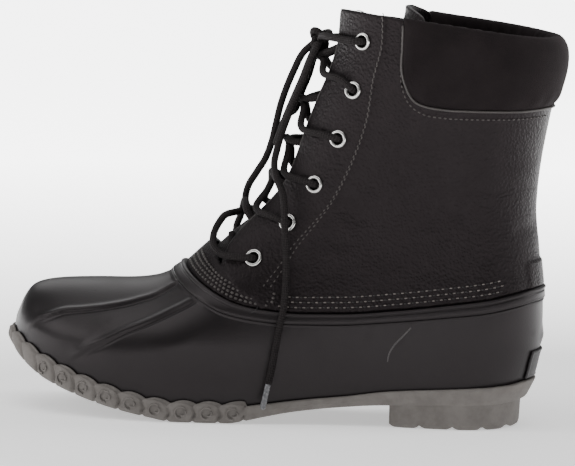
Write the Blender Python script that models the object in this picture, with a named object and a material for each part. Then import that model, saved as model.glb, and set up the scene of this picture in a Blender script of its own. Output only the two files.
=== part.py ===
# A laced rubber-bottomed leather boot, left foot, standing on its sole.
# Metres. +Z is up, the toe points to -X, the outer (lateral) side faces -Y.
# The origin is on the floor, in the middle of the heel's rest face.
import bpy
import bmesh
import math
import numpy as np
from collections import namedtuple
from mathutils import Vector

for old in list(bpy.data.objects):
    bpy.data.objects.remove(old, do_unlink=True)

# Driving sizes of the last and the boot
SOLE_LENGTH = 0.305
BALL_WIDTH = 0.104
INSTEP_HEIGHT = 0.1035
BOOT_HEIGHT = 0.241
HEEL_HEIGHT = 0.0145
TOE_SPRING = 0.036
HEEL_CENTRE_TO_BACK = 0.047

# Walls and fits
SHELL_WALL = 0.003
LEATHER_WALL = 0.002
STAY_STEP = 0.0012
FLANGE_WALL = 0.0015
GAP = 0.0003
SOLE_FIT = 0.0005
BAND_HEIGHT = 0.0075
BAND_STEP = 0.0012

# Sole
SOLE_EDGE = 0.011
LIP_HEIGHT = 0.0045
LIP_WALL = 0.0023
SCALLOP_PITCH = 0.0145
SCALLOP_RISE = 0.0022
SCALLOP_BULGE = 0.0009
GROOVE_DEPTH = 0.0022
GROOVE_WIDTH = 0.0024
INSOLE_THICKNESS = 0.004
INSOLE_LIFT = 0.0003

# Small parts
EYELET_RADIUS = 0.0053
EYELET_HOLE = 0.0031
EYELET_WALL = 0.0005
LACE_DIAMETER = 0.0042
CUFF_BULGE = 0.0045
CUFF_DEPTH = 0.0080
TONGUE_WALL = 0.0025

# Levels: 0 is the floor, 1 the bottom of the throat, 2 the top of the front flap.
# "along" runs from 0 at the back of the sole to 1 at the toe tip.
# Widths are shares of the ball width.
SoleRow = namedtuple("SoleRow", "along heel_share spring_share edge_share")
SOLE_ROWS = (
    SoleRow(-0.04, 1.12, 0.000, 1.25),
    SoleRow(0.00, 1.10, 0.000, 1.18),
    SoleRow(0.04, 1.03, 0.000, 1.05),
    SoleRow(0.11, 0.98, 0.000, 0.94),
    SoleRow(0.27, 0.88, 0.000, 0.81),
    SoleRow(0.35, 0.74, 0.000, 0.70),
    SoleRow(0.44, 0.50, 0.000, 0.76),
    SoleRow(0.49, 0.29, 0.000, 0.86),
    SoleRow(0.53, 0.10, 0.000, 1.02),
    SoleRow(0.56, 0.00, 0.000, 1.08),
    SoleRow(0.66, 0.00, 0.000, 1.12),
    SoleRow(0.71, 0.00, 0.060, 1.08),
    SoleRow(0.78, 0.00, 0.175, 1.13),
    SoleRow(0.83, 0.00, 0.280, 1.20),
    SoleRow(0.88, 0.00, 0.405, 1.27),
    SoleRow(0.93, 0.00, 0.560, 1.32),
    SoleRow(0.97, 0.00, 0.740, 1.32),
    SoleRow(1.00, 0.00, 0.900, 1.26),
    SoleRow(1.04, 0.00, 1.000, 1.26),
)
PlanRow = namedtuple("PlanRow", "along lateral medial lean")
PLAN_ROWS = (
    PlanRow(-0.05, 0.365, 0.365, 0.000),
    PlanRow(0.14, 0.370, 0.365, 0.000),
    PlanRow(0.24, 0.365, 0.351, 0.000),
    PlanRow(0.35, 0.375, 0.322, 0.000),
    PlanRow(0.44, 0.409, 0.322, 0.000),
    PlanRow(0.53, 0.471, 0.361, 0.015),
    PlanRow(0.62, 0.524, 0.399, 0.030),
    PlanRow(0.70, 0.548, 0.447, 0.043),
    PlanRow(0.78, 0.543, 0.476, 0.060),
    PlanRow(0.87, 0.524, 0.486, 0.087),
    PlanRow(1.05, 0.500, 0.481, 0.120),
)
CrestRow = namedtuple("CrestRow", "along level round")
CREST_ROWS = (
    CrestRow(1.000, 0.405, 0.08),
    CrestRow(0.997, 0.493, 0.12),
    CrestRow(0.989, 0.560, 0.15),
    CrestRow(0.977, 0.633, 0.19),
    CrestRow(0.962, 0.681, 0.23),
    CrestRow(0.938, 0.707, 0.28),
    CrestRow(0.902, 0.723, 0.33),
    CrestRow(0.836, 0.736, 0.39),
    CrestRow(0.770, 0.744, 0.40),
    CrestRow(0.725, 0.763, 0.40),
    CrestRow(0.695, 0.797, 0.39),
    CrestRow(0.666, 0.855, 0.38),
    CrestRow(0.636, 0.937, 0.37),
    CrestRow(0.613, 1.000, 0.36),
    CrestRow(0.574, 1.076, 0.36),
    CrestRow(0.534, 1.153, 0.36),
    CrestRow(0.495, 1.251, 0.37),
    CrestRow(0.472, 1.360, 0.38),
    CrestRow(0.452, 1.491, 0.40),
    CrestRow(0.426, 1.644, 0.42),
    CrestRow(0.408, 1.745, 0.43),
    CrestRow(0.393, 1.876, 0.43),
    CrestRow(0.390, 2.000, 0.43),
    CrestRow(0.389, 2.120, 0.43),
)
BackRow = namedtuple("BackRow", "level out round")
BACK_ROWS = (
    BackRow(0.00, -0.010, 0.36),
    BackRow(0.21, -0.003, 0.36),
    BackRow(0.30, 0.010, 0.36),
    BackRow(0.39, 0.017, 0.36),
    BackRow(0.48, 0.023, 0.36),
    BackRow(0.63, 0.025, 0.36),
    BackRow(0.75, 0.024, 0.36),
    BackRow(0.89, 0.019, 0.37),
    BackRow(1.02, 0.013, 0.38),
    BackRow(1.10, 0.008, 0.39),
    BackRow(1.17, 0.006, 0.40),
    BackRow(1.26, 0.008, 0.41),
    BackRow(1.36, 0.013, 0.42),
    BackRow(1.56, 0.026, 0.43),
    BackRow(1.70, 0.038, 0.44),
    BackRow(1.82, 0.045, 0.44),
    BackRow(2.12, 0.042, 0.44),
)
ShaftRow = namedtuple("ShaftRow", "level half")
SHAFT_ROWS = (
    ShaftRow(0.00, 0.350),
    ShaftRow(0.43, 0.348),
    ShaftRow(0.87, 0.341),
    ShaftRow(1.12, 0.351),
    ShaftRow(1.34, 0.375),
    ShaftRow(1.56, 0.404),
    ShaftRow(1.78, 0.428),
    ShaftRow(2.12, 0.440),
)
RimRow = namedtuple("RimRow", "along level")
RIM_ROWS = (
    RimRow(-0.05, 0.805),
    RimRow(-0.016, 0.797),
    RimRow(0.023, 0.772),
    RimRow(0.069, 0.740),
    RimRow(0.154, 0.700),
    RimRow(0.239, 0.665),
    RimRow(0.351, 0.633),
    RimRow(0.430, 0.628),
    RimRow(0.482, 0.638),
    RimRow(0.515, 0.650),
    RimRow(0.551, 0.674),
    RimRow(0.574, 0.700),
    RimRow(0.593, 0.726),
    RimRow(0.616, 0.760),
    RimRow(0.646, 0.812),
    RimRow(0.666, 0.855),
)
CollarRow = namedtuple("CollarRow", "along seam top")
COLLAR_ROWS = (
    CollarRow(-0.05, 1.615, 1.895),
    CollarRow(-0.02, 1.608, 1.900),
    CollarRow(0.03, 1.600, 1.912),
    CollarRow(0.14, 1.600, 1.940),
    CollarRow(0.20, 1.612, 1.956),
    CollarRow(0.23, 1.648, 1.966),
    CollarRow(0.246, 1.705, 1.971),
    CollarRow(0.29, 1.705, 1.986),
    CollarRow(0.37, 1.705, 2.000),
    CollarRow(0.50, 1.705, 2.000),
)
# The eyestay: how far its front edge lies behind the crest, and where its rear edge is
StayRow = namedtuple("StayRow", "rise setback rear")
STAY_ROWS = (
    StayRow(0.00, 0.110, 0.502),
    StayRow(0.11, 0.079, 0.479),
    StayRow(0.16, 0.062, 0.469),
    StayRow(0.25, 0.041, 0.451),
    StayRow(0.37, 0.029, 0.412),
    StayRow(0.50, 0.023, 0.372),
    StayRow(0.62, 0.021, 0.348),
    StayRow(0.71, 0.020, 0.334),
    StayRow(0.86, 0.019, 0.312),
    StayRow(1.00, 0.019, 0.303),
    StayRow(1.20, 0.019, 0.297),
    StayRow(1.60, 0.019, 0.286),
    StayRow(2.12, 0.019, 0.285),
)
STAY_FOOT_ALONG = 0.551
STAY_FOOT_RISE = 0.11
# Ridges on the toe, as the share of the way from the crest to the back seam
RidgeRow = namedtuple("RidgeRow", "rise near outer height")
RIDGE_ROWS = (
    RidgeRow(-1.00, 0.026, 0.105, 0.0),
    RidgeRow(-0.92, 0.034, 0.122, 0.4),
    RidgeRow(-0.85, 0.044, 0.146, 0.9),
    RidgeRow(-0.74, 0.069, 0.168, 1.0),
    RidgeRow(-0.61, 0.086, 0.169, 1.0),
    RidgeRow(-0.50, 0.089, 0.157, 1.0),
    RidgeRow(-0.39, 0.085, 0.144, 1.0),
    RidgeRow(-0.25, 0.064, 0.124, 1.0),
    RidgeRow(-0.14, 0.052, 0.112, 0.6),
    RidgeRow(0.00, 0.048, 0.110, 0.0),
)
RIDGE_HEIGHT = 0.0016
RIDGE_HALF_WIDTH = 0.0042
# Eyelets from the top down: place from crest to back seam, rise from rim to top
EyeletRow = namedtuple("EyeletRow", "at rise")
EYELET_ROWS = (
    EyeletRow(0.213, 1.585),
    EyeletRow(0.218, 0.962),
    EyeletRow(0.218, 0.752),
    EyeletRow(0.211, 0.552),
    EyeletRow(0.213, 0.380),
    EyeletRow(0.205, 0.208),
)
TongueRow = namedtuple("TongueRow", "rise sink half depth sweep")
TONGUE_ROWS = (
    TongueRow(0.03, 0.052, 0.34, 0.29, 0.62),
    TongueRow(0.13, 0.050, 0.36, 0.31, 0.66),
    TongueRow(0.22, 0.050, 0.36, 0.31, 0.70),
    TongueRow(0.32, 0.056, 0.36, 0.31, 0.80),
    TongueRow(0.42, 0.074, 0.35, 0.30, 0.95),
    TongueRow(0.55, 0.105, 0.34, 0.29, 1.10),
    TongueRow(0.75, 0.160, 0.33, 0.27, 1.20),
    TongueRow(1.00, 0.230, 0.33, 0.26, 1.25),
    TongueRow(1.35, 0.300, 0.32, 0.25, 1.25),
    TongueRow(1.60, 0.350, 0.30, 0.24, 1.22),
    TongueRow(1.82, 0.385, 0.28, 0.22, 1.15),
    TongueRow(1.98, 0.400, 0.23, 0.18, 1.00),
)
MEDIAL_FLAP_DROP = 0.045
TONGUE_COLUMNS = 9
TONGUE_CLEAR = 0.052
# The collar's section: rise from the seam, out as a share of bulge or of depth
CuffRow = namedtuple("CuffRow", "rise out")
CUFF_ROWS = (
    CuffRow(1.00, 0.10),
    CuffRow(1.10, 0.55),
    CuffRow(1.35, 0.92),
    CuffRow(1.65, 1.00),
    CuffRow(1.88, 0.78),
    CuffRow(2.00, 0.20),
    CuffRow(2.04, -0.25),
    CuffRow(2.00, -0.65),
    CuffRow(1.85, -0.95),
    CuffRow(1.50, -1.00),
    CuffRow(1.20, -0.95),
    CuffRow(1.00, -0.80),
)
LABEL_PLACES = (0.9860, 0.9895, 0.9930, 0.9965, 1.0)
LABEL_RISES = (-0.905, -0.835, -0.77, -0.70, -0.635)
LABEL_WALL = 0.0010
SCALLOP_END = 0.36
SOLE_REAR_STEPS = 19
SOLE_REAR_EASE = 1.3
SOLE_TUCK = 0.0040
TREAD_ROUND = 0.0025
HEEL_PLACES = (0.745, 0.80, 0.86, 0.91, 0.945, 0.970, 0.987, 0.9965)
HEEL_INSET = 0.0012
HEEL_EMBED = 0.0030
HEEL_GROOVES = (0.100, 0.168, 0.205)
FORE_GROOVES = (0.575, 0.625, 0.675, 0.725, 0.775, 0.825, 0.875, 0.925)
LACE_SIDES = 6
LACE_STEPS = 7
LACE_SPACING = 2.4
CORD_SPACING = 2.7
LACE_CENTRE_OUT = 0.75
AGLET_LENGTH = 0.014
AGLET_SHARE = 0.95
KNOT_LENGTH = 0.0175
KNOT_OUT = 1.60
KNOT_FIT = 0.0006
# Free strands leave the knot side by side, at these steps of one lace from its middle.
# Their routes run over the form: out is in lace diameters.
CordRow = namedtuple("CordRow", "place rise out")
Cord = namedtuple("Cord", "name first last rows")
CORDS = (
    Cord("lace_loop_near", -1.5, -0.5, (
        CordRow(-0.0145, 1.30, 2.05),
        CordRow(-0.0145, 1.00, 2.10),
        CordRow(-0.0135, 0.76, 2.15),
        CordRow(-0.009, 0.62, 2.20),
        CordRow(-0.003, 0.62, 2.20),
        CordRow(-0.002, 0.76, 2.15),
        CordRow(-0.002, 1.00, 2.10),
        CordRow(-0.002, 1.30, 2.05),
    )),
    Cord("lace_loop_far", 1.5, 2.5, (
        CordRow(0.011, 1.30, 2.10),
        CordRow(0.014, 1.05, 2.15),
        CordRow(0.018, 0.86, 2.20),
        CordRow(0.030, 0.76, 2.20),
        CordRow(0.052, 0.76, 2.25),
        CordRow(0.060, 0.88, 2.25),
        CordRow(0.044, 1.08, 2.20),
        CordRow(0.028, 1.32, 2.15),
    )),
    Cord("lace_end_near", -2.5, None, (
        CordRow(-0.039, 1.30, 2.05),
        CordRow(-0.043, 1.05, 2.10),
        CordRow(-0.052, 0.83, 2.20),
        CordRow(-0.075, 0.67, 2.35),
        CordRow(-0.160, 0.59, 2.55),
        CordRow(-0.199, 0.47, 2.60),
        CordRow(-0.222, 0.35, 2.45),
        CordRow(-0.246, 0.22, 1.80),
        CordRow(-0.296, 0.04, 1.43),
        CordRow(-0.390, -0.32, 1.15),
        CordRow(-0.480, -0.68, 1.20),
        CordRow(-0.500, -0.84, 1.60),
    )),
    Cord("lace_end_far", 0.5, None, (
        CordRow(0.001, 1.42, 2.90),
        CordRow(0.001, 1.15, 3.50),
        CordRow(0.003, 0.85, 3.70),
        CordRow(0.020, 0.55, 3.10),
        CordRow(0.120, 0.33, 2.60),
        CordRow(0.220, 0.20, 1.80),
        CordRow(0.290, 0.02, 1.45),
        CordRow(0.380, -0.35, 1.20),
        CordRow(0.450, -0.68, 1.25),
        CordRow(0.470, -0.82, 1.70),
    )),
)
FAN_ALONG = 0.974
FAN_LEVEL = 1.92
TOE_ROUND_SHARE = 0.23
FOOT_TOP_LEVEL = 0.42
SHAFT_FOOT_LEVEL = 1.05
WAIST_SHARE = 0.05
BULGE_SPAN = 0.018
THROAT_AT = 0.170
REAR_AT = 0.242
CUFF_AT = 0.621
CUFF_ALONG = 0.246
THROAT_FLOOR = 0.13
PROBE = 2e-5


def x_at(along):
    return HEEL_CENTRE_TO_BACK - SOLE_LENGTH * np.asarray(along, dtype=float)


def along_at(x):
    return (HEEL_CENTRE_TO_BACK - np.asarray(x, dtype=float)) / SOLE_LENGTH


def z_at(level):
    level = np.asarray(level, dtype=float)
    above = INSTEP_HEIGHT + (level - 1.0) * (BOOT_HEIGHT - INSTEP_HEIGHT)
    return np.where(level < 1.0, level * INSTEP_HEIGHT, above)


def level_at(z):
    z = np.asarray(z, dtype=float)
    above = 1.0 + (z - INSTEP_HEIGHT) / (BOOT_HEIGHT - INSTEP_HEIGHT)
    return np.where(z < INSTEP_HEIGHT, z / INSTEP_HEIGHT, above)


def column(rows, name):
    return np.array([getattr(row, name) for row in rows], dtype=float)


def slopes(knots, values):
    step = np.diff(knots)
    rate = np.diff(values) / step
    slope = np.zeros_like(values)
    slope[0] = rate[0]
    slope[-1] = rate[-1]
    for i in range(1, len(values) - 1):
        if rate[i - 1] * rate[i] > 0.0:
            first = 2.0 * step[i] + step[i - 1]
            second = step[i] + 2.0 * step[i - 1]
            slope[i] = (first + second) / (first / rate[i - 1] + second / rate[i])
    return slope


def smooth(knots, values):
    # Monotone cubic through the rows of a table
    knots = np.asarray(knots, dtype=float)
    values = np.asarray(values, dtype=float)
    order = np.argsort(knots)
    knots = knots[order]
    values = values[order]
    slope = slopes(knots, values)

    def value_at(where):
        where = np.clip(np.asarray(where, dtype=float), knots[0], knots[-1])
        i = np.clip(np.searchsorted(knots, where) - 1, 0, len(knots) - 2)
        step = knots[i + 1] - knots[i]
        t = (where - knots[i]) / step
        low = values[i] * (1 + 2 * t) * (1 - t) ** 2 + step * slope[i] * t * (1 - t) ** 2
        high = values[i + 1] * t * t * (3 - 2 * t) - step * slope[i + 1] * t * t * (1 - t)
        return low + high

    return value_at


def from_rows(rows, key, name):
    return smooth(column(rows, key), column(rows, name))


heel_share = from_rows(SOLE_ROWS, "along", "heel_share")
spring_share = from_rows(SOLE_ROWS, "along", "spring_share")
edge_share = from_rows(SOLE_ROWS, "along", "edge_share")
lateral_share = from_rows(PLAN_ROWS, "along", "lateral")
medial_share = from_rows(PLAN_ROWS, "along", "medial")
lean_share = from_rows(PLAN_ROWS, "along", "lean")
back_out = from_rows(BACK_ROWS, "level", "out")
back_round = from_rows(BACK_ROWS, "level", "round")
shaft_share = from_rows(SHAFT_ROWS, "level", "half")
rim_level = from_rows(RIM_ROWS, "along", "level")
seam_level = from_rows(COLLAR_ROWS, "along", "seam")
top_level = from_rows(COLLAR_ROWS, "along", "top")
throat_setback = from_rows(STAY_ROWS, "rise", "setback")
rear_along = from_rows(STAY_ROWS, "rise", "rear")
ridge_near = from_rows(RIDGE_ROWS, "rise", "near")
ridge_outer = from_rows(RIDGE_ROWS, "rise", "outer")
ridge_height = from_rows(RIDGE_ROWS, "rise", "height")


def tread_z(x):
    a = along_at(x)
    return heel_share(a) * HEEL_HEIGHT + spring_share(a) * TOE_SPRING


def lip_z(x):
    return tread_z(x) + edge_share(along_at(x)) * SOLE_EDGE


def feather_z(x):
    return lip_z(x) - LIP_HEIGHT


def back_x(z):
    return x_at(0.0) + SOLE_LENGTH * back_out(level_at(z))


def rim_z(x):
    return z_at(rim_level(along_at(x)))


def seam_z(x):
    return z_at(seam_level(along_at(x)))


def top_z(x):
    return z_at(top_level(along_at(x)))


def smooth_step(t):
    t = np.clip(t, 0.0, 1.0)
    return t * t * (3.0 - 2.0 * t)


# The crest: the line over the toe, the instep and the front of the shaft
crest_knots = np.arange(len(CREST_ROWS), dtype=float)
crest_steps = np.linspace(0.0, len(CREST_ROWS) - 1.0, 40 * len(CREST_ROWS))
crest_start_z = float(feather_z(x_at(1.0)))
crest_table_z = z_at(column(CREST_ROWS, "level"))
crest_table_z[0] = crest_start_z
crest_x = smooth(crest_knots, x_at(column(CREST_ROWS, "along")))(crest_steps)
crest_z = smooth(crest_knots, crest_table_z)(crest_steps)
crest_round = smooth(crest_knots, column(CREST_ROWS, "round"))(crest_steps) * BALL_WIDTH
crest_run = np.concatenate([[0.0], np.cumsum(np.hypot(np.diff(crest_x), np.diff(crest_z)))])
fan_x = float(x_at(FAN_ALONG))
fan_z = float(z_at(FAN_LEVEL))
crest_turn = np.arctan2(crest_z - fan_z, crest_x - fan_x)
crest_reach = np.hypot(crest_z - fan_z, crest_x - fan_x)
rim_front_x = float(x_at(RIM_ROWS[-1].along))
rim_front_run = float(np.interp(-RIM_ROWS[-1].along, -along_at(crest_x), crest_run))


def half_shares(x, z, side):
    # Half widths from the crest line: the foot below, the shaft above
    a = along_at(x)
    lean = lean_share(a)
    foot = np.where(side < 0, lateral_share(a), medial_share(a))
    shaft = shaft_share(level_at(z))
    part = smooth_step((level_at(z) - FOOT_TOP_LEVEL) / (SHAFT_FOOT_LEVEL - FOOT_TOP_LEVEL))
    share = foot * (1.0 - part) + shaft * part
    low = 1.0 - np.clip((z - feather_z(x)) / BULGE_SPAN, 0.0, 1.0)
    return share * (1.0 - WAIST_SHARE * low * low), lean


def roundness(depth, reach):
    t = depth / reach
    return np.where(t < 1.0, 1.0 - (1.0 - t) ** 2, 1.0)


def section_square(x, z):
    # Square of the share of the half width that is left near the crest, toe and back
    turn = np.arctan2(z - fan_z, x - fan_x)
    reach = np.hypot(z - fan_z, x - fan_x)
    front = np.interp(turn, crest_turn, crest_reach)
    radius = np.interp(turn, crest_turn, crest_round)
    over = roundness(reach - front, radius)
    toe = roundness(x - x_at(1.0) + 1e-9, TOE_ROUND_SHARE * SOLE_LENGTH)
    back = roundness(back_x(z) - x, back_round(level_at(z)) * BALL_WIDTH)
    return over, toe, back


def form_value(x, y, z, side):
    # Below zero inside the form, above zero outside it
    share, lean = half_shares(x, z, side)
    over, toe, back = section_square(x, z)
    across = (y - lean * BALL_WIDTH) / (share * BALL_WIDTH)
    least = np.minimum(np.minimum(over, toe), back)
    return across ** 2 - np.where(least < 0.0, least, over * toe * back)


def form_y(x, z, side):
    share, lean = half_shares(x, z, side)
    over, toe, back = section_square(x, z)
    square = np.clip(over, 0.0, 1.0) * np.clip(toe, 0.0, 1.0) * np.clip(back, 0.0, 1.0)
    return lean * BALL_WIDTH + side * share * BALL_WIDTH * np.sqrt(square)


def form_normal(x, y, z, side):
    step = PROBE
    gx = form_value(x + step, y, z, side) - form_value(x - step, y, z, side)
    gy = form_value(x, y + step, z, side) - form_value(x, y - step, z, side)
    gz = form_value(x, y, z + step, side) - form_value(x, y, z - step, side)
    n = np.stack([gx, gy, gz], axis=-1)
    return n / np.maximum(np.linalg.norm(n, axis=-1, keepdims=True), 1e-12)


def crest_point(run):
    return np.interp(run, crest_run, crest_x), np.interp(run, crest_run, crest_z)


def crest_at_height(z):
    return np.interp(z, crest_z, crest_x)


back_low_z = float(feather_z(x_at(0.0)))
back_rim_z = float(rim_z(back_x(z_at(RIM_ROWS[0].level))))


def blend(a, b, t):
    return a + (b - a) * t


def shell_side(s, v):
    # Side view of the shell: v runs from -1 at the sole to 0 at the rim
    t = v + 1.0
    left_x, left_z = crest_point(t * rim_front_run)
    right_z = blend(back_low_z, back_rim_z, t)
    right_x = back_x(right_z)
    tip_x, tip_z = crest_x[0], crest_z[0]
    low_end_x, low_end_z = back_x(back_low_z), back_low_z
    rim_end_x, rim_end_z = back_x(back_rim_z), back_rim_z
    front_x, front_z = rim_front_x, float(rim_z(rim_front_x))
    low_x = blend(tip_x, low_end_x, s)
    low_z = feather_z(low_x) + (tip_z - feather_z(tip_x)) * (1.0 - s) ** 8
    low_z = low_z + (low_end_z - feather_z(low_end_x)) * s ** 8
    up_x = blend(front_x, rim_end_x, s)
    up_z = rim_z(up_x) + (rim_end_z - rim_z(rim_end_x)) * s ** 8
    corner_x = blend(blend(tip_x, low_end_x, s), blend(front_x, rim_end_x, s), t)
    corner_z = blend(blend(tip_z, low_end_z, s), blend(front_z, rim_end_z, s), t)
    x = blend(left_x, right_x, s) + blend(low_x, up_x, t) - corner_x
    z = blend(left_z, right_z, s) + blend(low_z, up_z, t) - corner_z
    return x, z


def leather_side(s, v, side):
    # Side view of the leather: v is 0 at the rim, 1 at the collar seam, 2 at the top
    low = np.clip(v, 0.0, 1.0)
    high = np.clip(v - 1.0, 0.0, 1.15)

    def top_of(x):
        fall = smooth_step((along_at(x) - CUFF_ALONG) / 0.03 + 1.0)
        drop = np.where(side > 0.0, MEDIAL_FLAP_DROP, 0.0) * (BOOT_HEIGHT - INSTEP_HEIGHT)
        return top_z(x) - drop * fall

    def height(x):
        seam = seam_z(x)
        return blend(rim_z(x), seam, low) + (top_of(x) - seam) * high

    front_seam = float(z_at(seam_level(CUFF_ALONG + 0.05)))
    front_z = blend(float(rim_z(rim_front_x)), front_seam, low)
    front_z = front_z + (top_of(x_at(0.40)) - front_seam) * high
    front_x = crest_at_height(front_z)
    edge_v = np.maximum(v, STAY_FOOT_RISE)
    edge_low = np.clip(edge_v, 0.0, 1.0)
    throat_x = x_at(0.45) + 0.0 * v
    for _ in range(6):
        seam = seam_z(throat_x)
        edge_z = blend(rim_z(throat_x), seam, edge_low) + (top_of(throat_x) - seam) * high
        throat_x = crest_at_height(edge_z) + SOLE_LENGTH * throat_setback(edge_v)
    foot_x = float(x_at(STAY_FOOT_ALONG))
    throat_x = blend(foot_x, throat_x, np.clip(v / STAY_FOOT_RISE, 0.0, 1.0))
    rear_x = x_at(rear_along(v))
    cuff_x = x_at(CUFF_ALONG) + 0.0 * v
    end_x = back_x(height(x_at(0.0)))
    for _ in range(4):
        end_x = back_x(height(end_x))
    knots = (0.0, THROAT_AT, REAR_AT, CUFF_AT, 1.0)
    lines = (front_x, throat_x, rear_x, cuff_x, end_x)
    x = np.array(front_x, dtype=float)
    for i in range(4):
        part = np.clip((s - knots[i]) / (knots[i + 1] - knots[i]), 0.0, 1.0)
        x = x + (lines[i + 1] - lines[i]) * part
    z = height(x)
    # In front of the throat edge the rows rise to the crest
    w = np.clip(s / THROAT_AT, 0.0, 1.0)
    rim_x = blend(rim_front_x, foot_x, w)
    rim_chord = blend(float(rim_z(rim_front_x)), float(rim_z(foot_x)), w)
    bow = (rim_z(rim_x) - rim_chord) * np.clip(1.0 - 3.0 * v, 0.0, 1.0)
    vamp_z = blend(front_z, height(throat_x), w) + bow
    z = np.where(s < THROAT_AT, vamp_z, z)
    return x, z


def side_point(s, v, side):
    low_x, low_z = shell_side(s, np.clip(v, -1.0, 0.0))
    high_x, high_z = leather_side(s, np.clip(v, 0.0, 2.15), side)
    return np.where(v <= 0.0, low_x, high_x), np.where(v <= 0.0, low_z, high_z)


def form_point(signed, v):
    # A place on the form: the sign is the side, the size the share from crest to back
    signed, v = np.broadcast_arrays(np.asarray(signed, dtype=float), np.asarray(v, dtype=float))
    side = np.where(signed < 0.0, -1.0, 1.0)
    s = np.abs(signed)
    x, z = side_point(s, v, side)
    y = form_y(x, z, side)
    middle = lean_share(along_at(x)) * BALL_WIDTH
    y = np.where((s < 1e-9) | (s > 1.0 - 1e-9), middle, y)
    return np.stack([x, y, z], axis=-1), form_normal(x, y, z, side)


def offset_point(signed, v, out):
    # Near the feather edge the offset is level, so the wall's foot stays flat
    point, normal = form_point(signed, v)
    level = np.clip((np.asarray(v, dtype=float) + 1.0) / 0.12, 0.0, 1.0)
    normal = normal.copy()
    normal[..., 2] = normal[..., 2] * level
    normal = normal / np.maximum(np.linalg.norm(normal, axis=-1, keepdims=True), 1e-12)
    return point + normal * np.asarray(out, dtype=float)[..., None]


def span_height(signed, low, high):
    a, _ = form_point(signed, low)
    b, _ = form_point(signed, high)
    return np.linalg.norm(b - a, axis=-1)


materials = {}


def make_material(name, colour, roughness, metallic=0.0):
    if name in materials:
        return materials[name]
    material = bpy.data.materials.new(name)
    material.use_nodes = True
    shader = material.node_tree.nodes["Principled BSDF"]
    shader.inputs["Base Color"].default_value = colour + (1.0,)
    shader.inputs["Roughness"].default_value = roughness
    shader.inputs["Metallic"].default_value = metallic
    material.diffuse_color = colour + (1.0,)
    materials[name] = material
    return material


BLACK_RUBBER = ("black_rubber", (0.030, 0.027, 0.028), 0.42)
GREY_RUBBER = ("grey_rubber", (0.15, 0.13, 0.115), 0.70)
BLACK_LEATHER = ("black_leather", (0.022, 0.018, 0.019), 0.50)
DARK_NUBUCK = ("dark_nubuck", (0.014, 0.011, 0.011), 0.90)
DARK_FABRIC = ("dark_fabric", (0.020, 0.018, 0.018), 0.95)
BLACK_CORD = ("black_cord", (0.010, 0.009, 0.009), 0.85)
STEEL = ("polished_steel", (0.72, 0.72, 0.73), 0.18, 1.0)
LABEL_RUBBER = ("label_rubber", (0.016, 0.014, 0.015), 0.55)
CLEAR_TIP = ("grey_tip", (0.20, 0.20, 0.21), 0.30)


def add_object(name, points, faces, look):
    mesh = bpy.data.meshes.new(name)
    mesh.from_pydata([tuple(p) for p in points], [], faces)
    work = bmesh.new()
    work.from_mesh(mesh)
    bmesh.ops.remove_doubles(work, verts=work.verts, dist=1e-7)
    bmesh.ops.dissolve_degenerate(work, edges=work.edges, dist=1e-7)
    bmesh.ops.triangulate(work, faces=work.faces)
    bmesh.ops.recalc_face_normals(work, faces=work.faces)
    if work.calc_volume(signed=True) < 0.0:
        bmesh.ops.reverse_faces(work, faces=work.faces)
    work.to_mesh(mesh)
    work.free()
    thing = bpy.data.objects.new(name, mesh)
    bpy.context.scene.collection.objects.link(thing)
    mesh.materials.append(make_material(*look))
    return thing


def walled(outer, inner, keep, ring):
    # A closed wall between two grids of points, on the cells that are kept
    rows, cols = outer.shape[:2]
    points = np.concatenate([outer.reshape(-1, 3), inner.reshape(-1, 3)])
    shift = rows * cols
    spans = cols if ring else cols - 1
    faces = []

    def at(r, c):
        return r * cols + c % cols

    def kept(r, c):
        if r < 0 or r >= rows - 1:
            return False
        if not ring and (c < 0 or c >= spans):
            return False
        return bool(keep[r, c % spans])

    for r in range(rows - 1):
        for c in range(spans):
            if not kept(r, c):
                continue
            a, b, d, e = at(r, c), at(r, c + 1), at(r + 1, c + 1), at(r + 1, c)
            faces.append((a, b, d, e))
            faces.append((a + shift, e + shift, d + shift, b + shift))
            if not kept(r - 1, c):
                faces.append((b, a, a + shift, b + shift))
            if not kept(r + 1, c):
                faces.append((e, d, d + shift, e + shift))
            if not kept(r, c - 1):
                faces.append((a, e, e + shift, a + shift))
            if not kept(r, c + 1):
                faces.append((d, b, b + shift, d + shift))
    return points, faces


def used_only(points, faces):
    used = sorted({i for face in faces for i in face})
    number = {old: new for new, old in enumerate(used)}
    return points[used], [tuple(number[i] for i in face) for face in faces]


def cut_with(target, cutter, operation):
    change = target.modifiers.new(operation.lower(), "BOOLEAN")
    change.operation = operation
    change.solver = "EXACT"
    change.object = cutter
    cutter.hide_render = True
    cutter.display_type = "WIRE"


# Places along each row, half a ring from the crest to the back seam
VAMP_TURNS = (0.0, 0.22, 0.45, 0.68, 0.87)
STAY_COLUMNS = 4
QUARTER_PLACES = (0.30, 0.38, 0.46, 0.54)
CUFF_PLACES = (0.70, 0.78, 0.85, 0.905, 0.945, 0.970, 0.987, 0.9965, 1.0)
FIRST_STAY = len(VAMP_TURNS)
LAST_STAY = FIRST_STAY + STAY_COLUMNS - 1
CUFF_COLUMN = LAST_STAY + 2 + len(QUARTER_PLACES)
STRIP_COLUMNS = 4
STRIP_ROWS = 3
RIDGE_TOPS = (4, 8)


def leather_columns():
    vamp = [THROAT_AT * (1.0 - math.cos(t * math.pi / 2.0)) for t in VAMP_TURNS]
    stay = list(np.linspace(THROAT_AT, REAR_AT, STAY_COLUMNS))
    step = [REAR_AT + 2.0 * GAP / SOLE_LENGTH]
    return np.array(vamp + stay + step + list(QUARTER_PLACES) + [CUFF_AT] + list(CUFF_PLACES))


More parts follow.
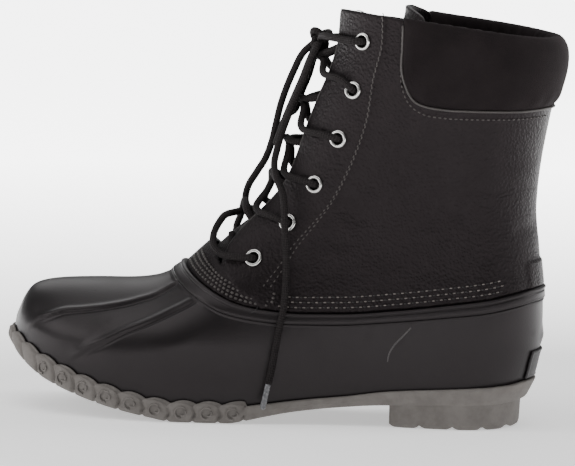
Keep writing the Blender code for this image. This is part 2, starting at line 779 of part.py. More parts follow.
def shell_columns(v):
    # The first places follow the two ridges, the others are the leather's own
    near = float(ridge_near(v))
    outer = float(ridge_outer(v))
    sample = np.array([near, near + 0.01, outer, outer + 0.01])
    spot, _ = form_point(-sample, np.full(4, v))
    rate = np.linalg.norm(np.diff(spot, axis=0), axis=-1)[[0, 2]] / 0.01
    foot_near = min(RIDGE_HALF_WIDTH / rate[0], near * 0.45, (outer - near) * 0.30)
    foot_outer = min(RIDGE_HALF_WIDTH / rate[1], (outer - near) * 0.30)
    first = near - foot_near
    middle = 0.5 * (near + foot_near + outer - foot_outer)
    ridges = [0.0, first * 0.08, first * 0.32, first, near, near + foot_near, middle]
    ridges += [outer - foot_outer, outer, outer + foot_outer]
    rest = leather_columns()[len(ridges):]
    start = max(outer + foot_outer + 0.03, rest[0])
    rest = 1.0 - (1.0 - rest) * (1.0 - start) / (1.0 - rest[0])
    return np.concatenate([ridges, rest])


def ring_of(half):
    # Signed places all round: outer side back to front, then inner side
    return np.concatenate([-half[::-1], half[1:-1]])


def both_sides(half):
    return np.concatenate([half[::-1], half[1:-1]])


SHELL_RISES = (0.0, 0.10, 0.22, 0.36, 0.50, 0.64, 0.78, 0.90, 1.0)
FLANGE_TOP_SHARE = 0.82


def build_shell():
    # Main wall, rim band with a step, ledge for the leather, flange behind it
    leather = leather_columns()
    count = len(ring_of(leather))
    rows = []
    for rise in SHELL_RISES:
        v_middle = -1.0 + rise * 0.86
        join = smooth_step((rise - 0.78) / 0.22)
        half = blend(shell_columns(v_middle), leather, float(join))
        ring = ring_of(half)
        tall = span_height(ring, -1.0, 0.0)
        v = -1.0 + rise * (1.0 - BAND_HEIGHT / tall)
        lift = np.zeros(len(half))
        lift[list(RIDGE_TOPS)] = RIDGE_HEIGHT * float(ridge_height(v_middle))
        rows.append((ring, v, both_sides(lift), np.full(count, -SHELL_WALL)))
    ring = ring_of(leather)
    tall = span_height(ring, -1.0, 0.0)
    band = np.full(count, BAND_STEP)
    wall = np.full(count, -SHELL_WALL)
    rows.append((ring, rows[-1][1] + GAP / tall, band, wall))
    rows.append((ring, np.zeros(count), band, wall))
    flange = np.full(count, -(LEATHER_WALL + GAP))
    for share in (0.0, 0.5, 1.0):
        v = np.full(count, THROAT_FLOOR * FLANGE_TOP_SHARE * share)
        rows.append((ring, v, flange, flange - FLANGE_WALL))
    s, v, out, back = (np.array(part) for part in zip(*rows))
    outer = offset_point(s, v, out)
    inner = offset_point(s, v, back)
    keep = np.ones((len(s) - 1, count), dtype=bool)
    points, faces = walled(outer, inner, keep, True)
    return add_object("shell", points, faces, BLACK_RUBBER)


LEATHER_RISES = (0.065, THROAT_FLOOR, 0.16, 0.26, 0.36, 0.46, 0.57, 0.69, 0.84, 1.0)
FLAP_RISES = (1.15, 1.45, 1.75, 2.0)
THROAT_ROW = 2
HOLE_SIDES = 12


def build_upper():
    # Vamp, quarters and front flaps in one wall, with steps for eyestay and rear strip
    half = leather_columns()
    ring = ring_of(half)
    count = len(ring)
    start = GAP / span_height(ring, 0.0, 1.0)
    v = np.array([start] + [np.full(count, rise) for rise in LEATHER_RISES + FLAP_RISES])
    s = np.tile(ring, (len(v), 1))
    index = both_sides(np.arange(len(half)))
    out = np.zeros(s.shape)
    out[:, (index >= FIRST_STAY) & (index <= LAST_STAY)] = STAY_STEP
    out[:STRIP_ROWS, index >= len(half) - STRIP_COLUMNS] = STAY_STEP * 0.8
    outer = offset_point(s, v, out)
    inner = offset_point(s, v, np.full(s.shape, -LEATHER_WALL))
    keep = np.zeros((len(s) - 1, count), dtype=bool)
    seam_row = len(LEATHER_RISES)
    for c in range(count):
        cell = min(index[c], index[(c + 1) % count])
        for r in range(len(s) - 1):
            over_vamp = cell < FIRST_STAY and r >= THROAT_ROW
            under_cuff = cell >= CUFF_COLUMN and r >= seam_row
            keep[r, c] = not over_vamp and not under_cuff
    points, faces = walled(outer, inner, keep, True)
    points, faces = used_only(points, faces)
    return add_object("upper", points, faces, BLACK_LEATHER)


def lathe(profile, centre, axis, sides):
    # Closed ring of revolution: profile rows are (radius, height along the axis)
    across = axis.cross(Vector((0.0, 0.0, 1.0))).normalized()
    third = axis.cross(across).normalized()
    points = []
    for i in range(sides):
        turn = 2.0 * math.pi * i / sides
        ray = across * math.cos(turn) + third * math.sin(turn)
        for radius, height in profile:
            points.append(tuple(centre + ray * radius + axis * height))
    size = len(profile)
    faces = []
    for i in range(sides):
        j = (i + 1) % sides
        for k in range(size):
            m = (k + 1) % size
            faces.append((i * size + k, i * size + m, j * size + m, j * size + k))
    return points, faces


def rod(radius, centre, axis, low, high, sides):
    across = axis.cross(Vector((0.0, 0.0, 1.0))).normalized()
    third = axis.cross(across).normalized()
    points = []
    for height in (low, high):
        for i in range(sides):
            turn = 2.0 * math.pi * i / sides
            ray = across * math.cos(turn) + third * math.sin(turn)
            points.append(tuple(centre + ray * radius + axis * height))
    faces = [tuple(range(sides)), tuple(range(sides, 2 * sides))]
    for i in range(sides):
        j = (i + 1) % sides
        faces.append((i, j, j + sides, i + sides))
    return points, faces


def eyelet_place(row, side):
    point, normal = form_point(np.array([side * row.at]), np.array([row.rise]))
    return Vector(point[0] + normal[0] * STAY_STEP), Vector(normal[0])


def build_eyelets(upper):
    barrel = EYELET_HOLE + EYELET_WALL
    depth = LEATHER_WALL + STAY_STEP + 2.0 * GAP
    flange = GAP + EYELET_WALL
    profile = ((EYELET_HOLE, -depth), (EYELET_HOLE, flange + EYELET_WALL * 0.6), (EYELET_RADIUS, flange))
    profile += ((EYELET_RADIUS, GAP), (barrel, GAP), (barrel, -depth))
    cut_points = []
    cut_faces = []
    for word, side in (("near", -1.0), ("far", 1.0)):
        for number, row in enumerate(EYELET_ROWS, 1):
            centre, axis = eyelet_place(row, side)
            points, faces = lathe(profile, centre, axis, HOLE_SIDES)
            add_object("eyelet_%s_%d" % (word, number), points, faces, STEEL)
            points, faces = rod(barrel + GAP, centre, axis, -3.0 * depth, 3.0 * flange, HOLE_SIDES)
            shift = len(cut_points)
            cut_points += points
            cut_faces += [tuple(i + shift for i in face) for face in faces]
    cutter = add_object("eyelet_holes", cut_points, cut_faces, STEEL)
    cut_with(upper, cutter, "DIFFERENCE")


def level_out(s, v=-1.0):
    # Place on the feather line and the level direction out of it
    point, normal = form_point(s, v)
    normal = normal * np.array([1.0, 1.0, 0.0])
    normal = normal / np.maximum(np.linalg.norm(normal, axis=-1, keepdims=True), 1e-12)
    return point, normal


def sole_places():
    # Steps along the feather line: three to a scallop at the front, then finer to the back
    dense = np.linspace(0.0, 1.0, 1601)
    halves = []
    tabs = 0
    for side in (-1.0, 1.0):
        point, _ = form_point(dense * side, -1.0)
        run = np.concatenate([[0.0], np.cumsum(np.linalg.norm(np.diff(point, axis=0), axis=-1))])
        front_run = float(run[np.argmax(point[:, 0] > x_at(SCALLOP_END))])
        if tabs == 0:
            tabs = int(round(front_run / SCALLOP_PITCH))
        front = np.linspace(0.0, front_run, 3 * tabs + 1)
        left = np.linspace(1.0, 0.0, SOLE_REAR_STEPS + 1)[1:] ** SOLE_REAR_EASE
        rear = run[-1] - (run[-1] - front_run) * left
        halves.append(np.interp(np.concatenate([front, rear]), run, dense))
    count = len(halves[0])
    wave = np.array([0.0 if i % 3 == 0 else 1.0 for i in range(count)])
    wave[3 * tabs:] = 0.0
    return halves[0], halves[1], wave


def build_outsole():
    lateral, medial, wave = sole_places()
    ring = np.concatenate([-lateral[::-1], medial[1:-1]])
    tabs = both_sides(wave)
    count = len(ring)
    foot, out = level_out(ring)
    tall = span_height(ring, -1.0, 0.0)
    lip = LIP_HEIGHT + SCALLOP_RISE * tabs
    lip_v = -1.0 + lip / tall
    bulge = SCALLOP_BULGE * tabs
    tuck = SOLE_TUCK * out[:, 0] ** 2
    tread = tread_z(foot[:, 0])

    def ring_at(offset, z):
        level = foot + out * offset[:, None]
        level[:, 2] = z
        return level

    even = np.ones(count)
    inner_top = offset_point(ring, lip_v, SOLE_FIT * even)
    outer_top = offset_point(ring, lip_v, SOLE_FIT + LIP_WALL + bulge * 0.5)
    rings = [
        ring_at(SOLE_FIT * even, foot[:, 2] - SOLE_FIT),
        inner_top,
        outer_top,
        ring_at(SOLE_FIT + LIP_WALL + bulge, foot[:, 2] - SOLE_FIT),
        ring_at(SOLE_FIT + LIP_WALL * 0.8 + bulge - tuck * 0.55, tread + TREAD_ROUND),
        ring_at(-SOLE_FIT + bulge - tuck, tread),
    ]
    points = np.concatenate(rings)
    faces = []
    for r in range(len(rings) - 1):
        for c in range(count):
            d = (c + 1) % count
            faces.append((r * count + c, r * count + d, (r + 1) * count + d, (r + 1) * count + c))
    faces += deck_faces(len(lateral), 0)
    faces += deck_faces(len(lateral), (len(rings) - 1) * count)
    return add_object("outsole", points, faces, GREY_RUBBER)


def deck_faces(half_count, shift):
    # Strips across the foot between the same steps of the two sides
    tip = half_count - 1
    total = 2 * half_count - 2
    faces = []
    for i in range(half_count - 1):
        near_a = shift + tip - i
        near_b = shift + tip - i - 1
        far_a = shift + (tip + i) % total
        far_b = shift + (tip + i + 1) % total
        corners = []
        for corner in (near_a, near_b, far_b, far_a):
            if corner not in corners:
                corners.append(corner)
        faces.append(tuple(corners))
    return faces


def build_heel(outsole):
    # Heel block under the rear of the sole, joined to it
    places = np.concatenate([-np.array(HEEL_PLACES), [1.0], np.array(HEEL_PLACES)[::-1]])
    foot, out = level_out(places)
    tuck = SOLE_TUCK * out[:, 0] ** 2
    levels = (
        (HEEL_INSET, None),
        (HEEL_INSET + 0.0004, 0.25),
        (HEEL_INSET + 0.0030, 0.0),
    )
    count = len(places)
    points = []
    for inset, share in levels:
        ring = foot + out * (LIP_WALL - inset - tuck * 1.25)[:, None]
        if share is None:
            ring[:, 2] = tread_z(foot[:, 0]) + HEEL_EMBED
        else:
            ring[:, 2] = HEEL_HEIGHT * share
        points.append(ring)
    points = np.concatenate(points)
    faces = [tuple(range(count)), tuple(range(2 * count, 3 * count))]
    for r in range(2):
        for c in range(count):
            d = (c + 1) % count
            faces.append((r * count + c, r * count + d, (r + 1) * count + d, (r + 1) * count + c))
    block = add_object("heel_block", points, faces, GREY_RUBBER)
    cut_with(outsole, block, "UNION")


def build_grooves(outsole):
    # Cross grooves that leave the main lugs of heel and forefoot
    points = []
    faces = []
    for along in HEEL_GROOVES + FORE_GROOVES:
        x = float(x_at(along))
        deep = GROOVE_DEPTH
        top = float(tread_z(np.array(x))) + deep if along > 0.5 else deep
        low = top - deep - 6.0 * GROOVE_DEPTH
        half = BALL_WIDTH * 0.75
        shift = len(points)
        for z in (low, top):
            for dx, dy in ((-1, -1), (1, -1), (1, 1), (-1, 1)):
                points.append((x + dx * GROOVE_WIDTH * 0.5, dy * half, z))
        boxes = ((0, 1, 2, 3), (4, 5, 6, 7), (0, 1, 5, 4), (1, 2, 6, 5), (2, 3, 7, 6), (3, 0, 4, 7))
        faces += [tuple(i + shift for i in face) for face in boxes]
    cutter = add_object("tread_grooves", points, faces, GREY_RUBBER)
    cut_with(outsole, cutter, "DIFFERENCE")


def build_insole():
    half = shell_columns(-1.0)
    ring = ring_of(half)
    count = len(ring)
    tall = span_height(ring, -1.0, 0.0)
    inset = -(SHELL_WALL + GAP) * np.ones(count)
    low = offset_point(ring, np.full(count, -1.0), inset)
    low[:, 2] = low[:, 2] + INSOLE_LIFT
    high = offset_point(ring, -1.0 + INSOLE_THICKNESS / tall, inset - GAP)
    points = np.concatenate([low, high])
    faces = []
    for c in range(count):
        d = (c + 1) % count
        faces.append((c, d, d + count, c + count))
    faces += deck_faces(len(half), 0)
    faces += deck_faces(len(half), count)
    return add_object("insole", points, faces, DARK_FABRIC)


def build_cuff():
    # Padded collar: one closed section swept round the sides and back
    gap_share = GAP / (float(x_at(0.0)) - float(x_at(CUFF_ALONG))) * (1.0 - CUFF_AT)
    half = np.concatenate([[CUFF_AT + gap_share], np.array(CUFF_PLACES)])
    ring = np.concatenate([-half, half[-2::-1]])
    count = len(ring)
    tall = span_height(ring, 1.0, 2.0)
    foot = 1.0 + GAP / tall
    section = []
    for row in CUFF_ROWS:
        v = foot + (row.rise - 1.0) * (2.0 - foot) / 1.0
        out = row.out * CUFF_BULGE if row.out > 0.0 else row.out * CUFF_DEPTH
        section.append(offset_point(ring, v, np.full(count, out)))
    size = len(section)
    points = np.concatenate(section)
    faces = []
    for k in range(size):
        m = (k + 1) % size
        for c in range(count - 1):
            faces.append((k * count + c, k * count + c + 1, m * count + c + 1, m * count + c))
    faces.append(tuple(k * count for k in range(size)))
    faces.append(tuple(k * count + count - 1 for k in range(size)))
    return add_object("cuff", points, faces, DARK_NUBUCK)


def build_tongue():
    rows_out = []
    rows_in = []
    turns = np.linspace(-1.0, 1.0, TONGUE_COLUMNS)
    front_seam = float(z_at(seam_level(CUFF_ALONG + 0.05)))
    front_rim = float(rim_z(rim_front_x))
    for row in TONGUE_ROWS:
        low = min(row.rise, 1.0)
        high = max(row.rise - 1.0, 0.0)
        z = front_rim + (front_seam - front_rim) * low + (BOOT_HEIGHT - front_seam) * high
        x = float(crest_at_height(z))
        ray = np.array([x - fan_x, z - fan_z])
        ray = ray / np.linalg.norm(ray)
        share, lean = half_shares(np.array(x), np.array(z), np.array(1.0))
        half = min(row.half, float(share) - TONGUE_CLEAR) * BALL_WIDTH
        deep = row.depth * BALL_WIDTH
        middle = float(lean) * BALL_WIDTH
        for target, wall in ((rows_out, 0.0), (rows_in, TONGUE_WALL)):
            turn = turns * row.sweep
            sink = row.sink * BALL_WIDTH + wall + (deep - wall) * (1.0 - np.cos(turn))
            y = middle + (half - wall) * np.sin(turn)
            target.append(np.stack([x + ray[0] * sink, y, z + ray[1] * sink], axis=-1))
    outer = np.array(rows_out)
    inner = np.array(rows_in)
    keep = np.ones((len(outer) - 1, TONGUE_COLUMNS - 1), dtype=bool)
    points, faces = walled(outer, inner, keep, False)
    return add_object("tongue", points, faces, BLACK_LEATHER)


def build_label():
    half = np.array(LABEL_PLACES)
    ring = np.concatenate([-half, half[-2::-1]])
    v = np.array(LABEL_RISES)
    s = np.tile(ring, (len(v), 1))
    v = np.tile(v[:, None], (1, len(ring)))
    outer = offset_point(s, v, np.full(s.shape, GAP + LABEL_WALL))
    inner = offset_point(s, v, np.full(s.shape, GAP))
    keep = np.ones((len(s) - 1, len(ring) - 1), dtype=bool)
    points, faces = walled(outer, inner, keep, False)
    return add_object("heel_label", points, faces, LABEL_RUBBER)


def through(points, spacing):
    # Smooth curve through route points, read at even steps
    route = np.array(points, dtype=float)
    knots = np.concatenate([[0.0], np.cumsum(np.linalg.norm(np.diff(route, axis=0), axis=-1))])
    dense = np.linspace(0.0, knots[-1], 40 * len(route))
    tangent = np.gradient(route, knots, axis=0)
    i = np.clip(np.searchsorted(knots, dense) - 1, 0, len(knots) - 2)
    step = (knots[i + 1] - knots[i])[:, None]
    t = (dense - knots[i])[:, None] / step
    line = route[i] * (1 + 2 * t) * (1 - t) ** 2 + step * tangent[i] * t * (1 - t) ** 2
    line = line + route[i + 1] * t * t * (3 - 2 * t) - step * tangent[i + 1] * t * t * (1 - t)
    run = np.concatenate([[0.0], np.cumsum(np.linalg.norm(np.diff(line, axis=0), axis=-1))])
    count = max(2, int(round(run[-1] / spacing)) + 1)
    want = np.linspace(0.0, run[-1], count)
    return np.stack([np.interp(want, run, line[:, k]) for k in range(3)], axis=-1)


def tube(line, radius, sides):
    # Closed tube along a line of points
    points = []
    size = len(line)
    normal = None
    for i in range(size):
        ahead = line[min(i + 1, size - 1)] - line[max(i - 1, 0)]
        ahead = Vector(ahead).normalized()
        if normal is None:
            normal = ahead.orthogonal().normalized()
        normal = (normal - ahead * normal.dot(ahead)).normalized()
        third = ahead.cross(normal)
        for k in range(sides):
            turn = 2.0 * math.pi * (k + 0.5) / sides
            ray = normal * math.cos(turn) + third * math.sin(turn)
            points.append(tuple(Vector(line[i]) + ray * radius))
    faces = [tuple(range(sides)), tuple(range((size - 1) * sides, size * sides))]
    for i in range(size - 1):
        for k in range(sides):
            m = (k + 1) % sides
            faces.append((i * sides + k, i * sides + m, (i + 1) * sides + m, (i + 1) * sides + k))
    return points, faces


def lace_line(stops, spacing, centre_out):
    # Follows the form from stop to stop: each stop is (signed place, rise, out)
    route = []
    for a, b in zip(stops[:-1], stops[1:]):
        for t in np.linspace(0.0, 1.0, LACE_STEPS)[:-1]:
            place = blend(a[0], b[0], t)
            near_centre = 1.0 - min(1.0, abs(place / a[0]))
            out = blend(a[2], b[2], t) + near_centre * (centre_out * LACE_DIAMETER - a[2])
            route.append((place, blend(a[1], b[1], t), out))
    route.append(stops[-1])
    route = np.array(route)
    line = offset_point(route[:, 0], route[:, 1], route[:, 2])
    return through(line, spacing)


def run_of(line):
    return np.concatenate([[0.0], np.cumsum(np.linalg.norm(np.diff(line, axis=0), axis=-1))])


def part_of(line, low, high, spacing):
    # The stretch of a line between two lengths along it, read at even steps
    run = run_of(line)
    want = np.linspace(low, high, max(2, int(round((high - low) / spacing)) + 1))
    return np.stack([np.interp(want, run, line[:, k]) for k in range(3)], axis=-1)


def lace_lift():
    # Height of the lace's middle over the form where it lies on an eyelet
    return STAY_STEP + 5.0 * GAP + 2.0 * EYELET_WALL + LACE_DIAMETER * 0.5


def top_line():
    # From the top eyelet of one side through the knot to the top eyelet of the other
    top = EYELET_ROWS[0]
    stops = [(-top.at, top.rise, lace_lift()), (top.at, top.rise, lace_lift())]
    return lace_line(stops, LACE_DIAMETER * 0.5, KNOT_OUT)


def build_crossings():
    # Two strands zigzag up the throat and meet at each crossing; two more run to the knot
    lift = lace_lift()
    down = []
    up = []
    last = len(EYELET_ROWS) - 1
    for i, row in enumerate(EYELET_ROWS):
        side = -1.0 if i % 2 == 0 else 1.0
        down.append((side * row.at, row.rise, lift))
        up.append((-side * row.at, row.rise, lift))
    low = EYELET_ROWS[last]
    down.append((-down[-1][0], low.rise, lift))
    spacing = LACE_DIAMETER * LACE_SPACING
    top = top_line()
    length = run_of(top)[-1]
    to_knot = (length - KNOT_LENGTH) * 0.5 - GAP
    strands = (
        ("lace_crossings", lace_line(down, spacing, LACE_CENTRE_OUT)),
        ("lace_second_strand", lace_line(up[::-1], spacing, LACE_CENTRE_OUT)),
        ("lace_to_knot_near", part_of(top, 0.0, to_knot, LACE_DIAMETER)),
        ("lace_to_knot_far", part_of(top, length - to_knot, length, LACE_DIAMETER)),
    )
    first = None
    for name, line in strands:
        points, faces = tube(line, LACE_DIAMETER * 0.5, LACE_SIDES)
        strand = add_object(name, points, faces, BLACK_CORD)
        if first is None:
            first = strand
        else:
            cut_with(first, strand, "UNION")


def add_cord(name, line, diameter, look):
    curve = bpy.data.curves.new(name, "CURVE")
    curve.dimensions = "3D"
    curve.bevel_depth = diameter * 0.5
    curve.bevel_resolution = 2
    curve.use_fill_caps = True
    spline = curve.splines.new("POLY")
    spline.points.add(len(line) - 1)
    for point, place in zip(spline.points, line):
        point.co = (place[0], place[1], place[2], 1.0)
    curve.materials.append(make_material(*look))
    thing = bpy.data.objects.new(name, curve)
    bpy.context.scene.collection.objects.link(thing)
    return thing


def on_knot(top, step, towards):
    # The first two points of a strand, square to the lace that it hangs from and clear of it
    run = run_of(top)
    along = run[-1] * 0.5 + step * (LACE_DIAMETER + GAP)
    place, after = (np.array([np.interp(x, run, top[:, k]) for k in range(3)])
                    for x in (along, along + GAP))
    line_way = (after - place) / np.linalg.norm(after - place)
    ahead = towards - place
    ahead = ahead - line_way * np.dot(ahead, line_way)
    ahead = ahead / np.linalg.norm(ahead)
    start = place + ahead * (LACE_DIAMETER * 0.5 + KNOT_FIT)
    return np.array([start, start + ahead * LACE_DIAMETER])


def build_cords():
    spacing = LACE_DIAMETER * CORD_SPACING
    top = top_line()
    middle = run_of(top)[-1] * 0.5
    knot = part_of(top, middle - KNOT_LENGTH * 0.5, middle + KNOT_LENGTH * 0.5, LACE_DIAMETER)
    add_cord("lace_knot", knot, LACE_DIAMETER, BLACK_CORD)
    for cord in CORDS:
        route = np.array([(row.place, row.rise, row.out * LACE_DIAMETER) for row in cord.rows])
        line = offset_point(route[:, 0], route[:, 1], route[:, 2])
        ends = [on_knot(top, cord.first, line[0]), line]
        if cord.last is not None:
            ends.append(on_knot(top, cord.last, line[-1])[::-1])
        line = np.concatenate(ends)
        line = through(line, spacing)
        add_cord(cord.name, line, LACE_DIAMETER, BLACK_CORD)
        if cord.last is None:
            ahead = line[-1] - line[-2]
            ahead = ahead / np.linalg.norm(ahead)
            start = line[-1] + ahead * GAP
            tip = np.array([start, start + ahead * AGLET_LENGTH])
            name = cord.name.replace("lace_end", "aglet")
            add_cord(name, tip, LACE_DIAMETER * AGLET_SHARE, CLEAR_TIP)


shell = build_shell()
upper = build_upper()
outsole = build_outsole()
build_heel(outsole)
build_grooves(outsole)
build_insole()
build_tongue()
build_cuff()
build_label()
build_eyelets(upper)
build_crossings()
build_cords()
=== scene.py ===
import math
import bpy
import bmesh
import numpy as np
from mathutils import Vector, Matrix


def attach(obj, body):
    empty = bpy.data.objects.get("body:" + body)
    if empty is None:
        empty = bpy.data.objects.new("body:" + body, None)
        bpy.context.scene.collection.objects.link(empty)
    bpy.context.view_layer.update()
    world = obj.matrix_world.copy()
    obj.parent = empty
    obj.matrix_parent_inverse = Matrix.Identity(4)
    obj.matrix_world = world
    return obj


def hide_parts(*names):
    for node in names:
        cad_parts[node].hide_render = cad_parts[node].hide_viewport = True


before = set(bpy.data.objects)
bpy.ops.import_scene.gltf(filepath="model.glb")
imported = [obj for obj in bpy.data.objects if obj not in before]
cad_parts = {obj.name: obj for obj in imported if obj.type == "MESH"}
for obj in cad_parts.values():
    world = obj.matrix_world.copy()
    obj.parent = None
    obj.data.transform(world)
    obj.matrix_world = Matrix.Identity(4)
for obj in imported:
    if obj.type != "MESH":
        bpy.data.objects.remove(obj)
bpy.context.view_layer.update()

# A laced duck boot, left foot: toe to -X, outer side to -Y, metres.
print("stage: camera")
cameraSettings = {"azimuth": 6.0, "elevation": 6.5, "roll": 1.5, "distance": 2.9,
                  "target": (-0.0963, 0.0, 0.107), "frameWidth": 0.33665, "sensor": 36.0}


def linked(name, data):
    thing = bpy.data.objects.new(name, data)
    bpy.context.scene.collection.objects.link(thing)
    return thing


def placeCamera(c):
    turn, lift, roll = (math.radians(c[k]) for k in ("azimuth", "elevation", "roll"))
    back = Vector((math.sin(turn) * math.cos(lift), -math.cos(turn) * math.cos(lift), math.sin(lift)))
    right = Vector((math.cos(turn), math.sin(turn), 0.0))
    up = back.cross(right)
    rolledRight = math.cos(roll) * right + math.sin(roll) * up
    rolledUp = -math.sin(roll) * right + math.cos(roll) * up
    data = bpy.data.cameras.new("camera")
    data.sensor_width = c["sensor"]
    data.lens = c["sensor"] * c["distance"] / c["frameWidth"]
    data.clip_end = 50.0
    data.dof.use_dof = False
    thing = linked("camera", data)
    place = Matrix((rolledRight, rolledUp, back)).transposed().to_4x4()
    place.translation = Vector(c["target"]) + back * c["distance"]
    thing.matrix_world = place
    bpy.context.scene.camera = thing


placeCamera(cameraSettings)


# The form of the last: tables over the side view, in shares of the boot's main sizes
def columns(names, rows):
    return dict(zip(names.split(), np.array(rows, dtype=float).T))


soleRows = columns("along heelShare springShare edgeShare", (
    (-0.04, 1.12, 0, 1.25), (0, 1.1, 0, 1.18), (0.04, 1.03, 0, 1.05), (0.11, 0.98, 0, 0.94),
    (0.27, 0.88, 0, 0.81), (0.35, 0.74, 0, 0.7), (0.44, 0.5, 0, 0.76), (0.49, 0.29, 0, 0.86),
    (0.53, 0.1, 0, 1.02), (0.56, 0, 0, 1.08), (0.66, 0, 0, 1.12), (0.71, 0, 0.06, 1.08),
    (0.78, 0, 0.175, 1.13), (0.83, 0, 0.28, 1.2), (0.88, 0, 0.405, 1.27), (0.93, 0, 0.56, 1.32),
    (0.97, 0, 0.74, 1.32), (1, 0, 0.9, 1.26), (1.04, 0, 1, 1.26),
))
planRows = columns("along lateral medial lean", (
    (-0.05, 0.365, 0.365, 0), (0.14, 0.37, 0.365, 0), (0.24, 0.365, 0.351, 0), (0.35, 0.375, 0.322, 0),
    (0.44, 0.409, 0.322, 0), (0.53, 0.471, 0.361, 0.015), (0.62, 0.524, 0.399, 0.03),
    (0.7, 0.548, 0.447, 0.043), (0.78, 0.543, 0.476, 0.06), (0.87, 0.524, 0.486, 0.087),
    (1.05, 0.5, 0.481, 0.12),
))
crestRows = columns("along level round", (
    (1, 0.405, 0.08), (0.997, 0.493, 0.12), (0.989, 0.56, 0.15), (0.977, 0.633, 0.19),
    (0.962, 0.681, 0.23), (0.938, 0.707, 0.28), (0.902, 0.723, 0.33), (0.836, 0.736, 0.39),
    (0.77, 0.744, 0.4), (0.725, 0.763, 0.4), (0.695, 0.797, 0.39), (0.666, 0.855, 0.38),
    (0.636, 0.937, 0.37), (0.613, 1, 0.36), (0.574, 1.076, 0.36), (0.534, 1.153, 0.36),
    (0.495, 1.251, 0.37), (0.472, 1.36, 0.38), (0.452, 1.491, 0.4), (0.426, 1.644, 0.42),
    (0.408, 1.745, 0.43), (0.393, 1.876, 0.43), (0.39, 2, 0.43), (0.389, 2.12, 0.43),
))
backRows = columns("level out round", (
    (0, -0.01, 0.36), (0.21, -0.003, 0.36), (0.3, 0.01, 0.36), (0.39, 0.017, 0.36), (0.48, 0.023, 0.36),
    (0.63, 0.025, 0.36), (0.75, 0.024, 0.36), (0.89, 0.019, 0.37), (1.02, 0.013, 0.38),
    (1.1, 0.008, 0.39), (1.17, 0.006, 0.4), (1.26, 0.008, 0.41), (1.36, 0.013, 0.42), (1.56, 0.026, 0.43),
    (1.7, 0.038, 0.44), (1.82, 0.045, 0.44), (2.12, 0.042, 0.44),
))
shaftRows = columns("level half", (
    (0, 0.35), (0.43, 0.348), (0.87, 0.341), (1.12, 0.351), (1.34, 0.375), (1.56, 0.404), (1.78, 0.428),
    (2.12, 0.44),
))
rimRows = columns("along level", (
    (-0.05, 0.805), (-0.016, 0.797), (0.023, 0.772), (0.069, 0.74), (0.154, 0.7), (0.239, 0.665),
    (0.351, 0.633), (0.43, 0.628), (0.482, 0.638), (0.515, 0.65), (0.551, 0.674), (0.574, 0.7),
    (0.593, 0.726), (0.616, 0.76), (0.646, 0.812), (0.666, 0.855),
))
collarRows = columns("along seam top", (
    (-0.05, 1.615, 1.895), (-0.02, 1.608, 1.9), (0.03, 1.6, 1.912), (0.14, 1.6, 1.94),
    (0.2, 1.612, 1.956), (0.23, 1.648, 1.966), (0.246, 1.705, 1.971), (0.29, 1.705, 1.986),
    (0.37, 1.705, 2), (0.5, 1.705, 2),
))
stayRows = columns("rise setback rear", (
    (0, 0.11, 0.502), (0.11, 0.079, 0.479), (0.16, 0.062, 0.469), (0.25, 0.041, 0.451),
    (0.37, 0.029, 0.412), (0.5, 0.023, 0.372), (0.62, 0.021, 0.348), (0.71, 0.02, 0.334),
    (0.86, 0.019, 0.312), (1, 0.019, 0.303), (1.2, 0.019, 0.297), (1.6, 0.019, 0.286),
    (2.12, 0.019, 0.285),
))
eyeletRows = columns("at rise", (
    (0.213, 1.585), (0.218, 0.962), (0.218, 0.752), (0.211, 0.552), (0.213, 0.38), (0.205, 0.208),
))
tongueRows = columns("rise sink half depth sweep", (
    (0.03, 0.052, 0.34, 0.29, 0.62), (0.13, 0.05, 0.36, 0.31, 0.66), (0.22, 0.05, 0.36, 0.31, 0.7),
    (0.32, 0.056, 0.36, 0.31, 0.8), (0.42, 0.074, 0.35, 0.3, 0.95), (0.55, 0.105, 0.34, 0.29, 1.1),
    (0.75, 0.16, 0.33, 0.27, 1.2), (1, 0.23, 0.33, 0.26, 1.25), (1.35, 0.3, 0.32, 0.25, 1.25),
    (1.6, 0.35, 0.3, 0.24, 1.22), (1.82, 0.385, 0.28, 0.22, 1.15), (1.98, 0.4, 0.23, 0.18, 1),
))
cuffRows = columns("rise out", (
    (1, 0.1), (1.1, 0.55), (1.35, 0.92), (1.65, 1), (1.88, 0.78), (2, 0.2), (2.04, -0.25), (2, -0.65),
    (1.85, -0.95), (1.5, -1), (1.2, -0.95), (1, -0.8),
))


# The boot's main sizes and walls, in metres
soleLength = 0.305
ballWidth = 0.104
instepHeight = 0.1035
bootHeight = 0.241
heelHeight = 0.0145
toeSpring = 0.036
heelCentreToBack = 0.047

shellWall = 0.003
leatherWall = 0.002
stayStep = 0.0012
flangeWall = 0.0015
gap = 0.0003
soleFit = 0.0005

soleEdge = 0.011
lipHeight = 0.0045
lipWall = 0.0023
scallopPitch = 0.0145
insoleThickness = 0.004
insoleLift = 0.0003

eyeletWall = 0.0005
laceDiameter = 0.0042
cuffBulge = 0.0045
cuffDepth = 0.0080
tongueWall = 0.0025

# Where the parts meet, in shares along and round the form
fanAlong = 0.974
fanLevel = 1.92
toeRoundShare = 0.23
footTopLevel = 0.42
shaftFootLevel = 1.05
waistShare = 0.05
bulgeSpan = 0.018
throatAt = 0.170
rearAt = 0.242
cuffAt = 0.621
cuffAlong = 0.246
throatFloor = 0.13
probe = 2e-5
medialFlapDrop = 0.045
stayFootAlong = 0.551
stayFootRise = 0.11
tongueClear = 0.052
scallopEnd = 0.53
soleTuck = 0.0040
treadRound = 0.0025
heelFrontAt = 0.745
heelEmbed = 0.0030
laceSteps = 7
knotOut = 1.60
knotFit = 0.0006


def xAt(along):
    return heelCentreToBack - soleLength * np.asarray(along, dtype=float)


def alongAt(x):
    return (heelCentreToBack - np.asarray(x, dtype=float)) / soleLength


